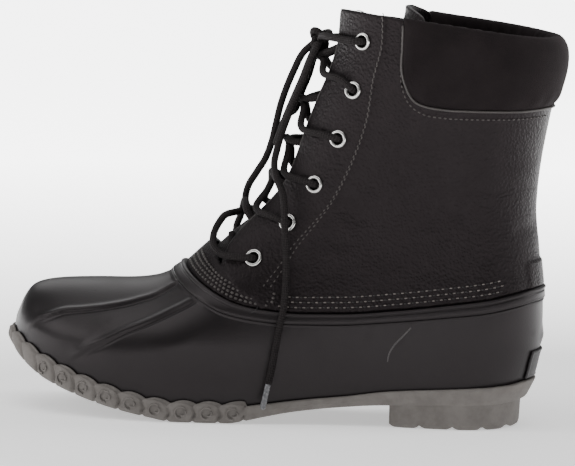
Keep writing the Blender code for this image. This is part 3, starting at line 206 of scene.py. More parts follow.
def zAt(level):
    level = np.asarray(level, dtype=float)
    above = instepHeight + (level - 1.0) * (bootHeight - instepHeight)
    return np.where(level < 1.0, level * instepHeight, above)


def levelAt(z):
    z = np.asarray(z, dtype=float)
    above = 1.0 + (z - instepHeight) / (bootHeight - instepHeight)
    return np.where(z < instepHeight, z / instepHeight, above)


def slopes(knots, values):
    step = np.diff(knots)
    rate = np.diff(values) / step
    slope = np.zeros_like(values)
    slope[0] = rate[0]
    slope[-1] = rate[-1]
    for i in range(1, len(values) - 1):
        if rate[i - 1] * rate[i] > 0.0:
            first = 2.0 * step[i] + step[i - 1]
            second = step[i] + 2.0 * step[i - 1]
            slope[i] = (first + second) / (first / rate[i - 1] + second / rate[i])
    return slope


def smooth(knots, values):
    # Monotone cubic through the rows of a table
    knots = np.asarray(knots, dtype=float)
    values = np.asarray(values, dtype=float)
    order = np.argsort(knots)
    knots = knots[order]
    values = values[order]
    slope = slopes(knots, values)

    def valueAt(where):
        where = np.clip(np.asarray(where, dtype=float), knots[0], knots[-1])
        i = np.clip(np.searchsorted(knots, where) - 1, 0, len(knots) - 2)
        step = knots[i + 1] - knots[i]
        t = (where - knots[i]) / step
        low = values[i] * (1 + 2 * t) * (1 - t) ** 2 + step * slope[i] * t * (1 - t) ** 2
        high = values[i + 1] * t * t * (3 - 2 * t) - step * slope[i + 1] * t * t * (1 - t)
        return low + high

    return valueAt


def fromRows(rows, key, name):
    return smooth(rows[key], rows[name])


heelShare = fromRows(soleRows, "along", "heelShare")
springShare = fromRows(soleRows, "along", "springShare")
edgeShare = fromRows(soleRows, "along", "edgeShare")
lateralShare = fromRows(planRows, "along", "lateral")
medialShare = fromRows(planRows, "along", "medial")
leanShare = fromRows(planRows, "along", "lean")
backOut = fromRows(backRows, "level", "out")
backRound = fromRows(backRows, "level", "round")
shaftShare = fromRows(shaftRows, "level", "half")
rimLevel = fromRows(rimRows, "along", "level")
seamLevel = fromRows(collarRows, "along", "seam")
topLevel = fromRows(collarRows, "along", "top")
throatSetback = fromRows(stayRows, "rise", "setback")
rearAlong = fromRows(stayRows, "rise", "rear")


def treadZ(x):
    a = alongAt(x)
    return heelShare(a) * heelHeight + springShare(a) * toeSpring


def lipZ(x):
    return treadZ(x) + edgeShare(alongAt(x)) * soleEdge


def featherZ(x):
    return lipZ(x) - lipHeight


def backX(z):
    return xAt(0.0) + soleLength * backOut(levelAt(z))


def rimZ(x):
    return zAt(rimLevel(alongAt(x)))


def seamZ(x):
    return zAt(seamLevel(alongAt(x)))


def topZ(x):
    return zAt(topLevel(alongAt(x)))


def smoothStep(t):
    t = np.clip(t, 0.0, 1.0)
    return t * t * (3.0 - 2.0 * t)


# The crest: the line over the toe, the instep and the front of the shaft
crestKnots = np.arange(len(crestRows["along"]), dtype=float)
crestSteps = np.linspace(0.0, len(crestRows["along"]) - 1.0, 40 * len(crestRows["along"]))
crestStartZ = float(featherZ(xAt(1.0)))
crestTableZ = zAt(crestRows["level"])
crestTableZ[0] = crestStartZ
crestX = smooth(crestKnots, xAt(crestRows["along"]))(crestSteps)
crestZ = smooth(crestKnots, crestTableZ)(crestSteps)
crestRound = smooth(crestKnots, crestRows["round"])(crestSteps) * ballWidth
crestRun = np.concatenate([[0.0], np.cumsum(np.hypot(np.diff(crestX), np.diff(crestZ)))])
fanX = float(xAt(fanAlong))
fanZ = float(zAt(fanLevel))
crestTurn = np.arctan2(crestZ - fanZ, crestX - fanX)
crestReach = np.hypot(crestZ - fanZ, crestX - fanX)
rimFrontX = float(xAt(rimRows["along"][-1]))
rimFrontRun = float(np.interp(-rimRows["along"][-1], -alongAt(crestX), crestRun))


def halfShares(x, z, side):
    # Half widths from the crest line: the foot below, the shaft above
    a = alongAt(x)
    lean = leanShare(a)
    foot = np.where(side < 0, lateralShare(a), medialShare(a))
    shaft = shaftShare(levelAt(z))
    part = smoothStep((levelAt(z) - footTopLevel) / (shaftFootLevel - footTopLevel))
    share = foot * (1.0 - part) + shaft * part
    low = 1.0 - np.clip((z - featherZ(x)) / bulgeSpan, 0.0, 1.0)
    return share * (1.0 - waistShare * low * low), lean


def roundness(depth, reach):
    t = depth / reach
    return np.where(t < 1.0, 1.0 - (1.0 - t) ** 2, 1.0)


def sectionSquare(x, z):
    # Square of the share of the half width that is left near the crest, toe and back
    turn = np.arctan2(z - fanZ, x - fanX)
    reach = np.hypot(z - fanZ, x - fanX)
    front = np.interp(turn, crestTurn, crestReach)
    radius = np.interp(turn, crestTurn, crestRound)
    over = roundness(reach - front, radius)
    toe = roundness(x - xAt(1.0) + 1e-9, toeRoundShare * soleLength)
    back = roundness(backX(z) - x, backRound(levelAt(z)) * ballWidth)
    return over, toe, back


def formValue(x, y, z, side):
    # Below zero inside the form, above zero outside it
    share, lean = halfShares(x, z, side)
    over, toe, back = sectionSquare(x, z)
    across = (y - lean * ballWidth) / (share * ballWidth)
    least = np.minimum(np.minimum(over, toe), back)
    return across ** 2 - np.where(least < 0.0, least, over * toe * back)


def formY(x, z, side):
    share, lean = halfShares(x, z, side)
    over, toe, back = sectionSquare(x, z)
    square = np.clip(over, 0.0, 1.0) * np.clip(toe, 0.0, 1.0) * np.clip(back, 0.0, 1.0)
    return lean * ballWidth + side * share * ballWidth * np.sqrt(square)


def unit(rows):
    return rows / np.maximum(np.linalg.norm(rows, axis=-1, keepdims=True), 1e-12)


def formNormal(x, y, z, side):
    step = probe
    gx = formValue(x + step, y, z, side) - formValue(x - step, y, z, side)
    gy = formValue(x, y + step, z, side) - formValue(x, y - step, z, side)
    gz = formValue(x, y, z + step, side) - formValue(x, y, z - step, side)
    return unit(np.stack([gx, gy, gz], axis=-1))


def crestPoint(run):
    return np.interp(run, crestRun, crestX), np.interp(run, crestRun, crestZ)


def crestAtHeight(z):
    return np.interp(z, crestZ, crestX)


backLowZ = float(featherZ(xAt(0.0)))
backRimZ = float(rimZ(backX(zAt(rimRows["level"][0]))))


def blend(a, b, t):
    return a + (b - a) * t


def shellSide(s, v):
    # Side view of the shell: v runs from -1 at the sole to 0 at the rim
    t = v + 1.0
    leftX, leftZ = crestPoint(t * rimFrontRun)
    rightZ = blend(backLowZ, backRimZ, t)
    rightX = backX(rightZ)
    tipX, tipZ = crestX[0], crestZ[0]
    lowEndX, lowEndZ = backX(backLowZ), backLowZ
    rimEndX, rimEndZ = backX(backRimZ), backRimZ
    frontX, frontZ = rimFrontX, float(rimZ(rimFrontX))
    lowX = blend(tipX, lowEndX, s)
    lowZ = featherZ(lowX) + (tipZ - featherZ(tipX)) * (1.0 - s) ** 8
    lowZ = lowZ + (lowEndZ - featherZ(lowEndX)) * s ** 8
    upX = blend(frontX, rimEndX, s)
    upZ = rimZ(upX) + (rimEndZ - rimZ(rimEndX)) * s ** 8
    cornerX = blend(blend(tipX, lowEndX, s), blend(frontX, rimEndX, s), t)
    cornerZ = blend(blend(tipZ, lowEndZ, s), blend(frontZ, rimEndZ, s), t)
    x = blend(leftX, rightX, s) + blend(lowX, upX, t) - cornerX
    z = blend(leftZ, rightZ, s) + blend(lowZ, upZ, t) - cornerZ
    return x, z


def leatherSide(s, v, side):
    # Side view of the leather: v is 0 at the rim, 1 at the collar seam, 2 at the top
    low = np.clip(v, 0.0, 1.0)
    high = np.clip(v - 1.0, 0.0, 1.15)

    def topOf(x):
        fall = smoothStep((alongAt(x) - cuffAlong) / 0.03 + 1.0)
        drop = np.where(side > 0.0, medialFlapDrop, 0.0) * (bootHeight - instepHeight)
        return topZ(x) - drop * fall

    def height(x):
        seam = seamZ(x)
        return blend(rimZ(x), seam, low) + (topOf(x) - seam) * high

    frontSeam = float(zAt(seamLevel(cuffAlong + 0.05)))
    frontZ = blend(float(rimZ(rimFrontX)), frontSeam, low)
    frontZ = frontZ + (topOf(xAt(0.40)) - frontSeam) * high
    frontX = crestAtHeight(frontZ)
    edgeV = np.maximum(v, stayFootRise)
    edgeLow = np.clip(edgeV, 0.0, 1.0)
    throatX = xAt(0.45) + 0.0 * v
    for _ in range(6):
        seam = seamZ(throatX)
        edgeZ = blend(rimZ(throatX), seam, edgeLow) + (topOf(throatX) - seam) * high
        throatX = crestAtHeight(edgeZ) + soleLength * throatSetback(edgeV)
    footX = float(xAt(stayFootAlong))
    throatX = blend(footX, throatX, np.clip(v / stayFootRise, 0.0, 1.0))
    rearX = xAt(rearAlong(v))
    cuffX = xAt(cuffAlong) + 0.0 * v
    endX = backX(height(xAt(0.0)))
    for _ in range(4):
        endX = backX(height(endX))
    knots = (0.0, throatAt, rearAt, cuffAt, 1.0)
    lines = (frontX, throatX, rearX, cuffX, endX)
    x = np.array(frontX, dtype=float)
    for i in range(4):
        part = np.clip((s - knots[i]) / (knots[i + 1] - knots[i]), 0.0, 1.0)
        x = x + (lines[i + 1] - lines[i]) * part
    z = height(x)
    # In front of the throat edge the rows rise to the crest
    w = np.clip(s / throatAt, 0.0, 1.0)
    rimX = blend(rimFrontX, footX, w)
    rimChord = blend(float(rimZ(rimFrontX)), float(rimZ(footX)), w)
    bow = (rimZ(rimX) - rimChord) * np.clip(1.0 - 3.0 * v, 0.0, 1.0)
    vampZ = blend(frontZ, height(throatX), w) + bow
    z = np.where(s < throatAt, vampZ, z)
    return x, z


def sidePoint(s, v, side):
    lowX, lowZ = shellSide(s, np.clip(v, -1.0, 0.0))
    highX, highZ = leatherSide(s, np.clip(v, 0.0, 2.15), side)
    return np.where(v <= 0.0, lowX, highX), np.where(v <= 0.0, lowZ, highZ)


def formPoint(signed, v):
    # A place on the form: the sign is the side, the size the share from crest to back seam,
    # and v is -1 at the sole, 0 at the shell's rim, 1 at the collar seam and 2 at the top
    signed, v = np.broadcast_arrays(np.asarray(signed, dtype=float), np.asarray(v, dtype=float))
    side = np.where(signed < 0.0, -1.0, 1.0)
    s = np.abs(signed)
    x, z = sidePoint(s, v, side)
    y = formY(x, z, side)
    middle = leanShare(alongAt(x)) * ballWidth
    y = np.where((s < 1e-9) | (s > 1.0 - 1e-9), middle, y)
    return np.stack([x, y, z], axis=-1), formNormal(x, y, z, side)


def offsetPoint(signed, v, out):
    # Near the feather edge the offset is level, so the wall's foot stays flat
    point, normal = formPoint(signed, v)
    level = np.clip((np.asarray(v, dtype=float) + 1.0) / 0.12, 0.0, 1.0)
    normal = normal.copy()
    normal[..., 2] = normal[..., 2] * level
    return point + unit(normal) * np.asarray(out, dtype=float)[..., None]


def spanHeight(signed, low, high):
    a, _ = formPoint(signed, low)
    b, _ = formPoint(signed, high)
    return np.linalg.norm(b - a, axis=-1)


def runOf(line):
    return np.concatenate([[0.0], np.cumsum(np.linalg.norm(np.diff(line, axis=0), axis=-1))])


def readAt(line, run, want):
    # Points of a line at the wanted lengths along it
    return np.stack([np.interp(want, run, line[:, k]) for k in range(3)], axis=-1)


def through(points, spacing):
    # Smooth curve through route points, read at even steps
    route = np.array(points, dtype=float)
    knots = runOf(route)
    dense = np.linspace(0.0, knots[-1], 40 * len(route))
    tangent = np.gradient(route, knots, axis=0)
    i = np.clip(np.searchsorted(knots, dense) - 1, 0, len(knots) - 2)
    step = (knots[i + 1] - knots[i])[:, None]
    t = (dense - knots[i])[:, None] / step
    line = route[i] * (1 + 2 * t) * (1 - t) ** 2 + step * tangent[i] * t * (1 - t) ** 2
    line = line + route[i + 1] * t * t * (3 - 2 * t) - step * tangent[i + 1] * t * t * (1 - t)
    run = runOf(line)
    count = max(2, int(round(run[-1] / spacing)) + 1)
    return readAt(line, run, np.linspace(0.0, run[-1], count))


def offLine(rows, spacing):
    # A smooth line through (place, rise, out) rows
    return through(offsetPoint(*np.array(rows, dtype=float).T), spacing)


def laceLine(stops, spacing, centreOut):
    # Follows the form from stop to stop: each stop is (signed place, rise, out)
    route = []
    for a, b in zip(stops[:-1], stops[1:]):
        for t in np.linspace(0.0, 1.0, laceSteps)[:-1]:
            place = blend(a[0], b[0], t)
            nearCentre = 1.0 - min(1.0, abs(place / a[0]))
            out = blend(a[2], b[2], t) + nearCentre * (centreOut * laceDiameter - a[2])
            route.append((place, blend(a[1], b[1], t), out))
    route.append(stops[-1])
    return offLine(route, spacing)


def partOf(line, low, high, spacing):
    # The stretch of a line between two lengths along it, read at even steps
    run = runOf(line)
    return readAt(line, run, np.linspace(low, high, max(2, int(round((high - low) / spacing)) + 1)))


def laceLift():
    # Height of the lace's middle over the form where it lies on an eyelet
    return stayStep + 5.0 * gap + 2.0 * eyeletWall + laceDiameter * 0.5


def topLine():
    # From the top eyelet of one side through the knot to the top eyelet of the other
    stops = [(side * eyeletRows["at"][0], eyeletRows["rise"][0], laceLift()) for side in (-1.0, 1.0)]
    return laceLine(stops, laceDiameter * 0.5, knotOut)


def onKnot(top, step, towards):
    # The first two points of a strand, square to the lace that it hangs from and clear of it
    run = runOf(top)
    along = run[-1] * 0.5 + step * (laceDiameter + gap)
    place, after = readAt(top, run, np.array([along, along + gap]))
    lineWay = (after - place) / np.linalg.norm(after - place)
    ahead = towards - place
    ahead = ahead - lineWay * np.dot(ahead, lineWay)
    ahead = ahead / np.linalg.norm(ahead)
    start = place + ahead * (laceDiameter * 0.5 + knotFit)
    return np.array([start, start + ahead * laceDiameter])


def ringOf(half):
    return np.concatenate([-half[::-1], half[1:-1]])  # closed at the back seam


def roundBack(half):
    return np.concatenate([-half, half[-2::-1]])  # open in front, round the back


measureSteps = 2001


def evenPlaces(v, step, stops):
    # Places from crest to back seam at even lengths of the outer side
    dense = np.linspace(0.0, 1.0, measureSteps)
    point, _ = formPoint(-dense, v)
    run = runOf(point)
    places = []
    for a, b in zip(stops[:-1], stops[1:]):
        low, high = np.interp((a, b), dense, run)
        count = max(1, int(round((high - low) / step)))
        places += list(np.interp(np.linspace(low, high, count, endpoint=False), run, dense))
    return np.array(places + [stops[-1]])


def nearLine(points, line):
    # Distance of each point to a dense line, and the share of the line where it is nearest
    flat = points.reshape(-1, 3)
    best = np.full(len(flat), 9.0)
    share = np.zeros(len(flat))
    for i, spot in enumerate(line):
        reach = np.linalg.norm(flat - spot, axis=1)
        closer = reach < best
        best = np.where(closer, reach, best)
        share = np.where(closer, i / (len(line) - 1.0), share)
    return best.reshape(points.shape[:-1]), share.reshape(points.shape[:-1])


def onForm(rows, spacing=0.0008):
    # A smooth line on the form through (place, rise) rows
    rows = np.array(rows, dtype=float)
    return through(formPoint(rows[:, 0], rows[:, 1])[0], spacing)


def bell(distance, width):
    return np.exp(-(distance / width) ** 2)


def fadeEnds(share, part):
    return smoothStep(share / part) * smoothStep((1.0 - share) / part)


def addPiece(name, points, faces, look):
    mesh = bpy.data.meshes.new(name)
    mesh.from_pydata(np.asarray(points).tolist(), [], faces)
    work = bmesh.new()
    work.from_mesh(mesh)
    bmesh.ops.remove_doubles(work, verts=work.verts, dist=2e-6)
    bmesh.ops.dissolve_degenerate(work, edges=work.edges, dist=2e-6)
    bmesh.ops.recalc_face_normals(work, faces=work.faces)
    if work.calc_volume(signed=True) < 0.0:
        bmesh.ops.reverse_faces(work, faces=work.faces)
    work.to_mesh(mesh)
    work.free()
    mesh.polygons.foreach_set("use_smooth", [True] * len(mesh.polygons))
    mesh.materials.append(look)
    return linked(name, mesh)


def settle(thing, slotName, *nodes):
    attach(thing, "root")
    if nodes:
        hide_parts(*nodes)
    print("piece:", thing.name, len(thing.data.polygons))
    return thing


def walled(outer, inner, keep, ring):
    # A closed wall between two grids of points, on the cells that are kept
    rows, cols = outer.shape[:2]
    spans = cols if ring else cols - 1
    shift = rows * cols
    kept = np.zeros((rows + 1, spans + 2), dtype=bool)
    kept[1:rows, 1:spans + 1] = keep[:rows - 1, :spans]
    if ring:
        kept[:, 0] = kept[:, spans]
        kept[:, spans + 1] = kept[:, 1]
    faces = []
    for r, c in zip(*np.nonzero(kept[1:rows, 1:spans + 1])):
        r, c = int(r), int(c)
        a, b = r * cols + c, r * cols + (c + 1) % cols
        d, e = b + cols, a + cols
        faces.append((a, b, d, e))
        faces.append((a + shift, e + shift, d + shift, b + shift))
        if not kept[r, c + 1]:
            faces.append((b, a, a + shift, b + shift))
        if not kept[r + 2, c + 1]:
            faces.append((e, d, d + shift, e + shift))
        if not kept[r + 1, c]:
            faces.append((a, e, e + shift, a + shift))
        if not kept[r + 1, c + 2]:
            faces.append((d, b, b + shift, d + shift))
    points = np.concatenate([outer.reshape(-1, 3), inner.reshape(-1, 3)])
    used = np.unique([i for face in faces for i in face])
    number = np.zeros(len(points), dtype=int)
    number[used] = np.arange(len(used))
    return points[used], [tuple(int(number[i]) for i in face) for face in faces]


def wallPiece(name, s, v, outer, inner, keep, look, ring=False):
    # A wall over a grid of places, between two distances from the form
    points, faces = walled(offsetPoint(s, v, outer), offsetPoint(s, v, inner), keep, ring)
    return addPiece(name, points, faces, look)


def loft(rings, closedRing, closedStack=False):
    # Quads between rings of the same count
    count = len(rings[0])
    total = len(rings)
    faces = []
    for r in range(total if closedStack else total - 1):
        q = (r + 1) % total
        for c in range(count if closedRing else count - 1):
            d = (c + 1) % count
            faces.append((r * count + c, r * count + d, q * count + d, q * count + c))
    return faces


def tubePiece(name, line, radius, look, sides):
    # Round tube with rounded ends, and a map along and round it
    line = np.asarray(line, dtype=float)
    diameter = 2.0 * radius
    run = runOf(line)
    size = len(line)
    tail = np.minimum(run, run[-1] - run)
    tipShare = np.clip(tail / (0.6 * radius), 0.0, 1.0)  # how far into the rounded end
    thin = np.sqrt(np.clip(1.0 - (1.0 - tipShare) ** 2, 0.05, 1.0))
    points = []
    normal = None
    for i in range(size):
        ahead = Vector(line[min(i + 1, size - 1)] - line[max(i - 1, 0)]).normalized()
        if normal is None:
            normal = ahead.orthogonal().normalized()
        normal = (normal - ahead * normal.dot(ahead)).normalized()
        third = ahead.cross(normal)
        for k in range(sides + 1):
            turn = 2.0 * math.pi * k / sides
            ray = normal * math.cos(turn) + third * math.sin(turn)
            points.append(line[i] + np.array(ray) * radius * thin[i])
    points = np.array(points).reshape(size, sides + 1, 3)
    mesh = bpy.data.meshes.new(name)
    flat = points[:, :sides].reshape(-1, 3)
    faces = []
    marks = []
    for i in range(size - 1):
        for k in range(sides):
            m = (k + 1) % sides
            faces.append((i * sides + k, i * sides + m, (i + 1) * sides + m, (i + 1) * sides + k))
            low, high = run[i] / diameter, run[i + 1] / diameter
            marks += [(k / sides, low), ((k + 1) / sides, low), ((k + 1) / sides, high), (k / sides, high)]
    faces.append(tuple(range(sides))[::-1])
    faces.append(tuple(range((size - 1) * sides, size * sides)))
    marks += [(0.5, 0.0)] * (2 * sides)
    mesh.from_pydata(flat.tolist(), [], faces)
    layer = mesh.uv_layers.new(name="strand")
    layer.data.foreach_set("uv", np.array(marks, dtype=float).reshape(-1))
    mesh.polygons.foreach_set("use_smooth", [True] * len(mesh.polygons))
    mesh.materials.append(look)
    work = bmesh.new()
    work.from_mesh(mesh)
    if work.calc_volume(signed=True) < 0.0:
        bmesh.ops.reverse_faces(work, faces=work.faces)
        work.to_mesh(mesh)
    work.free()
    return linked(name, mesh)


def joinPieces(name, things):
    # One mesh from several, with the first one's material and map
    work = bmesh.new()
    for thing in things:
        work.from_mesh(thing.data)
    mesh = bpy.data.meshes.new(name)
    work.to_mesh(mesh)
    work.free()
    mesh.polygons.foreach_set("use_smooth", [True] * len(mesh.polygons))
    mesh.materials.append(things[0].data.materials[0])
    for thing in things:
        bpy.data.objects.remove(thing, do_unlink=True)
    return linked(name, mesh)


print("stage: materials")


class Value:
    # A socket that works in sums, from either side
    def __init__(self, look, socket):
        self.look = look
        self.socket = socket

    def sum(self, operation, first, second):
        return self.look.node("ShaderNodeMath", {"operation": operation}, {0: first, 1: second}, 0)

    def __add__(self, other):
        return self.sum("ADD", self, other)

    def __radd__(self, other):
        return self.sum("ADD", other, self)

    def __sub__(self, other):
        return self.sum("SUBTRACT", self, other)

    def __rsub__(self, other):
        return self.sum("SUBTRACT", other, self)

    def __mul__(self, other):
        return self.sum("MULTIPLY", self, other)

    def __rmul__(self, other):
        return self.sum("MULTIPLY", other, self)


class Look:
    # One material and the nodes that make it
    def __init__(self, name):
        self.material = bpy.data.materials.new(name)
        self.material.use_nodes = True
        self.tree = self.material.node_tree
        self.shader = self.tree.nodes["Principled BSDF"]

    def node(self, kind, settings, inputs, output):
        made = self.tree.nodes.new(kind)
        for key, value in settings.items():
            setattr(made, key, value)
        for key, value in inputs.items():
            self.put(made.inputs[key], value)
        return Value(self, made.outputs[output])

    def put(self, socket, value):
        if isinstance(value, Value):
            self.tree.links.new(value.socket, socket)
        else:
            socket.default_value = value

    def place(self):
        return self.node("ShaderNodeTexCoord", {}, {}, "Object")

    def strand(self):
        return self.node("ShaderNodeUVMap", {"uv_map": "strand"}, {}, "UV")

    def noise(self, scale, detail):
        inputs = {"Vector": self.place(), "Scale": scale, "Detail": detail, "Roughness": 0.55}
        return self.node("ShaderNodeTexNoise", {}, inputs, 0)

    def cells(self, scale, feature="F1"):
        inputs = {"Vector": self.place(), "Scale": scale}
        return self.node("ShaderNodeTexVoronoi", {"feature": feature}, inputs, "Distance")

    def fit(self, value, low, high, newLow, newHigh):
        inputs = {"Value": value, "From Min": low, "From Max": high, "To Min": newLow, "To Max": newHigh}
        return self.node("ShaderNodeMapRange", {"clamp": True}, inputs, "Result")

    def mix(self, factor, first, second):
        return self.node("ShaderNodeMix", {"data_type": "RGBA"}, {0: factor, 6: first, 7: second}, 2)

    def bump(self, height, distance):
        inputs = {"Height": height, "Distance": distance, "Strength": 1.0}
        return self.node("ShaderNodeBump", {}, inputs, "Normal")

    def sine(self, value):
        return self.node("ShaderNodeMath", {"operation": "SINE"}, {0: value}, 0)

    def finish(self, sockets):
        for key, value in sockets.items():
            self.put(self.shader.inputs[key], value)
        return self.material


def tone(r, g, b):
    return (r, g, b, 1.0)


rubberSettings = {"dark": tone(0.0042, 0.0035, 0.0037), "light": tone(0.0075, 0.0063, 0.0067),
                  "roughLow": 0.33, "roughHigh": 0.45}


def makeRubber(c):
    look = Look("satinRubber")
    broad = look.noise(14.0, 4.0)
    fine = look.noise(900.0, 2.0)
    scuff = look.fit(look.noise(60.0, 6.0), 0.60, 0.72, 0.0, 1.0)
    return look.finish({
        "Base Color": look.mix(look.fit(broad, 0.35, 0.7, 0.0, 1.0), c["dark"], c["light"]),
        "Roughness": look.fit(broad, 0.3, 0.7, c["roughLow"], c["roughHigh"]) + scuff * 0.10,
        "Normal": look.bump(fine + broad * 0.6, 0.00005),
        "Specular IOR Level": 0.32, "Specular Tint": tone(1.0, 0.91, 0.93)})


soleLookSettings = {"dark": tone(0.128, 0.116, 0.107), "light": tone(0.172, 0.158, 0.147), "rough": 0.72}


def makeSoleRubber(c):
    look = Look("greySoleRubber")
    broad = look.noise(30.0, 5.0)
    fine = look.noise(700.0, 3.0)
    blotch = look.fit(look.noise(150.0, 4.0), 0.35, 0.65, 0.0, 1.0)
    shade = look.fit(broad * 0.6 + blotch * 0.4, 0.2, 0.8, 0.0, 1.0)
    return look.finish({
        "Base Color": look.mix(shade, c["dark"], c["light"]),
        "Roughness": look.fit(fine, 0.3, 0.7, c["rough"] - 0.08, c["rough"] + 0.08),
        "Normal": look.bump(fine + blotch * 0.8, 0.00012), "Specular IOR Level": 0.4})


leatherSettings = {"dark": tone(0.0034, 0.0027, 0.0029), "light": tone(0.0080, 0.0065, 0.0069),
                   "roughLow": 0.36, "roughHigh": 0.54, "grain": 620.0}


def makeLeather(c):
    look = Look("grainLeather")
    grain = look.cells(c["grain"], "SMOOTH_F1")
    pores = look.cells(c["grain"] * 2.3)
    broad = look.noise(22.0, 5.0)
    cloudy = look.noise(90.0, 4.0)
    shade = look.fit(broad * 0.6 + cloudy * 0.4, 0.35, 0.65, 0.0, 1.0)
    height = look.fit(grain, 0.0, 0.6, 1.0, 0.0) + look.fit(pores, 0.0, 0.5, 0.3, 0.0) + cloudy * 0.6
    return look.finish({
        "Base Color": look.mix(shade, c["dark"], c["light"]),
        "Roughness": look.fit(broad, 0.3, 0.7, c["roughLow"], c["roughHigh"]),
        "Normal": look.bump(height, 0.00030),
        "Specular IOR Level": 0.17, "Specular Tint": tone(1.0, 0.86, 0.89)})


nubuckSettings = {"dark": tone(0.0050, 0.0040, 0.0042), "light": tone(0.0120, 0.0097, 0.0100)}


def makeNubuck(c):
    look = Look("nappedNubuck")
    nap = look.noise(1500.0, 3.0)
    brushed = look.noise(45.0, 6.0)
    shade = look.fit(brushed * 0.65 + nap * 0.35, 0.35, 0.65, 0.0, 1.0)
    return look.finish({
        "Base Color": look.mix(shade, c["dark"], c["light"]),
        "Roughness": look.fit(brushed, 0.3, 0.7, 0.84, 0.97),
        "Normal": look.bump(nap + brushed * 2.0, 0.00025),
        "Specular IOR Level": 0.12, "Specular Tint": tone(1.0, 0.85, 0.88), "Sheen Weight": 0.04,
        "Sheen Roughness": 0.45, "Sheen Tint": tone(1.0, 0.86, 0.88)})


liningLookSettings = {"dark": tone(0.012, 0.0105, 0.0105), "light": tone(0.024, 0.021, 0.021),
                      "roughLow": 0.86, "roughHigh": 0.98}


def makeLiningCloth(c):
    look = Look("liningCloth")
    weave = look.cells(900.0)
    broad = look.noise(40.0, 4.0)
    return look.finish({
        "Base Color": look.mix(look.fit(broad, 0.35, 0.65, 0.0, 1.0), c["dark"], c["light"]),
        "Roughness": look.fit(weave, 0.0, 0.6, c["roughHigh"], c["roughLow"]),
        "Normal": look.bump(look.fit(weave, 0.0, 0.5, 1.0, 0.0), 0.0003), "Specular IOR Level": 0.2})


braidSettings = {"dark": tone(0.0045, 0.0040, 0.0040), "light": tone(0.0185, 0.0165, 0.0165),
                 "ends": 6.0, "pitch": 1.5}


def makeBraid(c):
    # Two sets of slanting yarns, on the map along and round the strand; the tone follows the weave's
    # relief, darker in its grooves as painted shade
    look = Look("braidedCord")
    across = look.node("ShaderNodeSeparateXYZ", {}, {"Vector": look.strand()}, "X")
    along = Value(look, across.socket.node.outputs["Y"])
    turn = 2.0 * math.pi
    rising = look.sine((across * c["ends"] + along * c["pitch"]) * turn)
    falling = look.sine((across * c["ends"] - along * c["pitch"]) * turn)
    weave = look.fit(rising * falling, -1.0, 1.0, 0.0, 1.0)
    fuzz = look.noise(2600.0, 2.0)
    # Painted shade: the weave's low parts get the darker tone
    shade = look.fit(weave * 0.7 + fuzz * 0.4, 0.2, 0.95, 0.0, 1.0)
    return look.finish({
        "Base Color": look.mix(shade, c["dark"], c["light"]),
        "Roughness": look.fit(fuzz, 0.3, 0.7, 0.70, 0.90),
        "Normal": look.bump(weave + fuzz * 0.3, 0.00040), "Specular IOR Level": 0.20,
        "Specular Tint": tone(1.0, 0.88, 0.90)})


steelSettings = {"scale": 350.0, "detail": 5.0, "spread": (0.4, 0.7), "dark": tone(0.56, 0.55, 0.53),
                 "light": tone(0.42, 0.41, 0.40), "rough": (0.16, 0.30), "metal": 1.0}
labelLookSettings = {"scale": 800.0, "detail": 3.0, "spread": (0.3, 0.7), "dark": tone(0.012, 0.010, 0.011),
                     "light": tone(0.021, 0.018, 0.019), "rough": (0.46, 0.60), "relief": 0.00008}
tipLookSettings = {"scale": 500.0, "detail": 2.0, "spread": (0.3, 0.7), "dark": tone(0.09, 0.09, 0.095),
                   "light": tone(0.17, 0.17, 0.18), "rough": (0.18, 0.32)}
threadLookSettings = {"scale": 2200.0, "detail": 2.0, "spread": (0.35, 0.65), "rough": (0.45, 0.65),
                      "relief": 0.0001}


def makePlain(name, c):
    # One noise drives the tone, the gloss and the relief of a small part
    look = Look(name)
    grain = look.noise(c["scale"], c["detail"])
    sockets = {"Base Color": look.mix(look.fit(grain, *c["spread"], 0.0, 1.0), c["dark"], c["light"]),
               "Roughness": look.fit(grain, 0.3, 0.7, *c["rough"]), "Metallic": c.get("metal", 0.0)}
    if "relief" in c:
        sockets["Normal"] = look.bump(grain, c["relief"])
    return look.finish(sockets)


def makeThread(name, dark, light):
    return makePlain(name, {**threadLookSettings, "dark": dark, "light": light})


satinRubber = makeRubber(rubberSettings)
soleRubber = makeSoleRubber(soleLookSettings)
grainLeather = makeLeather(leatherSettings)
nubuck = makeNubuck(nubuckSettings)
liningCloth = makeLiningCloth(liningLookSettings)
braid = makeBraid(braidSettings)
steel = makePlain("polishedSteel", steelSettings)
labelRubber = makePlain("blankLabel", labelLookSettings)
clearTip = makePlain("smokyTip", tipLookSettings)
# A light thread tone used only as the painted highlight on the rim's stitches
threadPaintedHighlight = makeThread("threadPaintedHighlight", tone(0.085, 0.074, 0.068), tone(0.22, 0.195, 0.18))
darkThread = makeThread("darkThread", tone(0.006, 0.005, 0.005), tone(0.018, 0.015, 0.015))
dullThread = makeThread("dullThread", tone(0.024, 0.020, 0.019), tone(0.072, 0.062, 0.058))


print("stage: cords")
laceSettings = {"step": 0.0018, "sides": 12, "knotLength": 0.0175, "tipLength": 0.014, "tipShare": 0.80,
                "tipOverlap": 0.0015, "tipStep": 0.0008, "bendStep": 2.7, "knotStep": 0.001,
                "knotSize": 0.50, "knotStrand": 0.46, "knotFacing": (-0.35, -0.9, 0.2)}
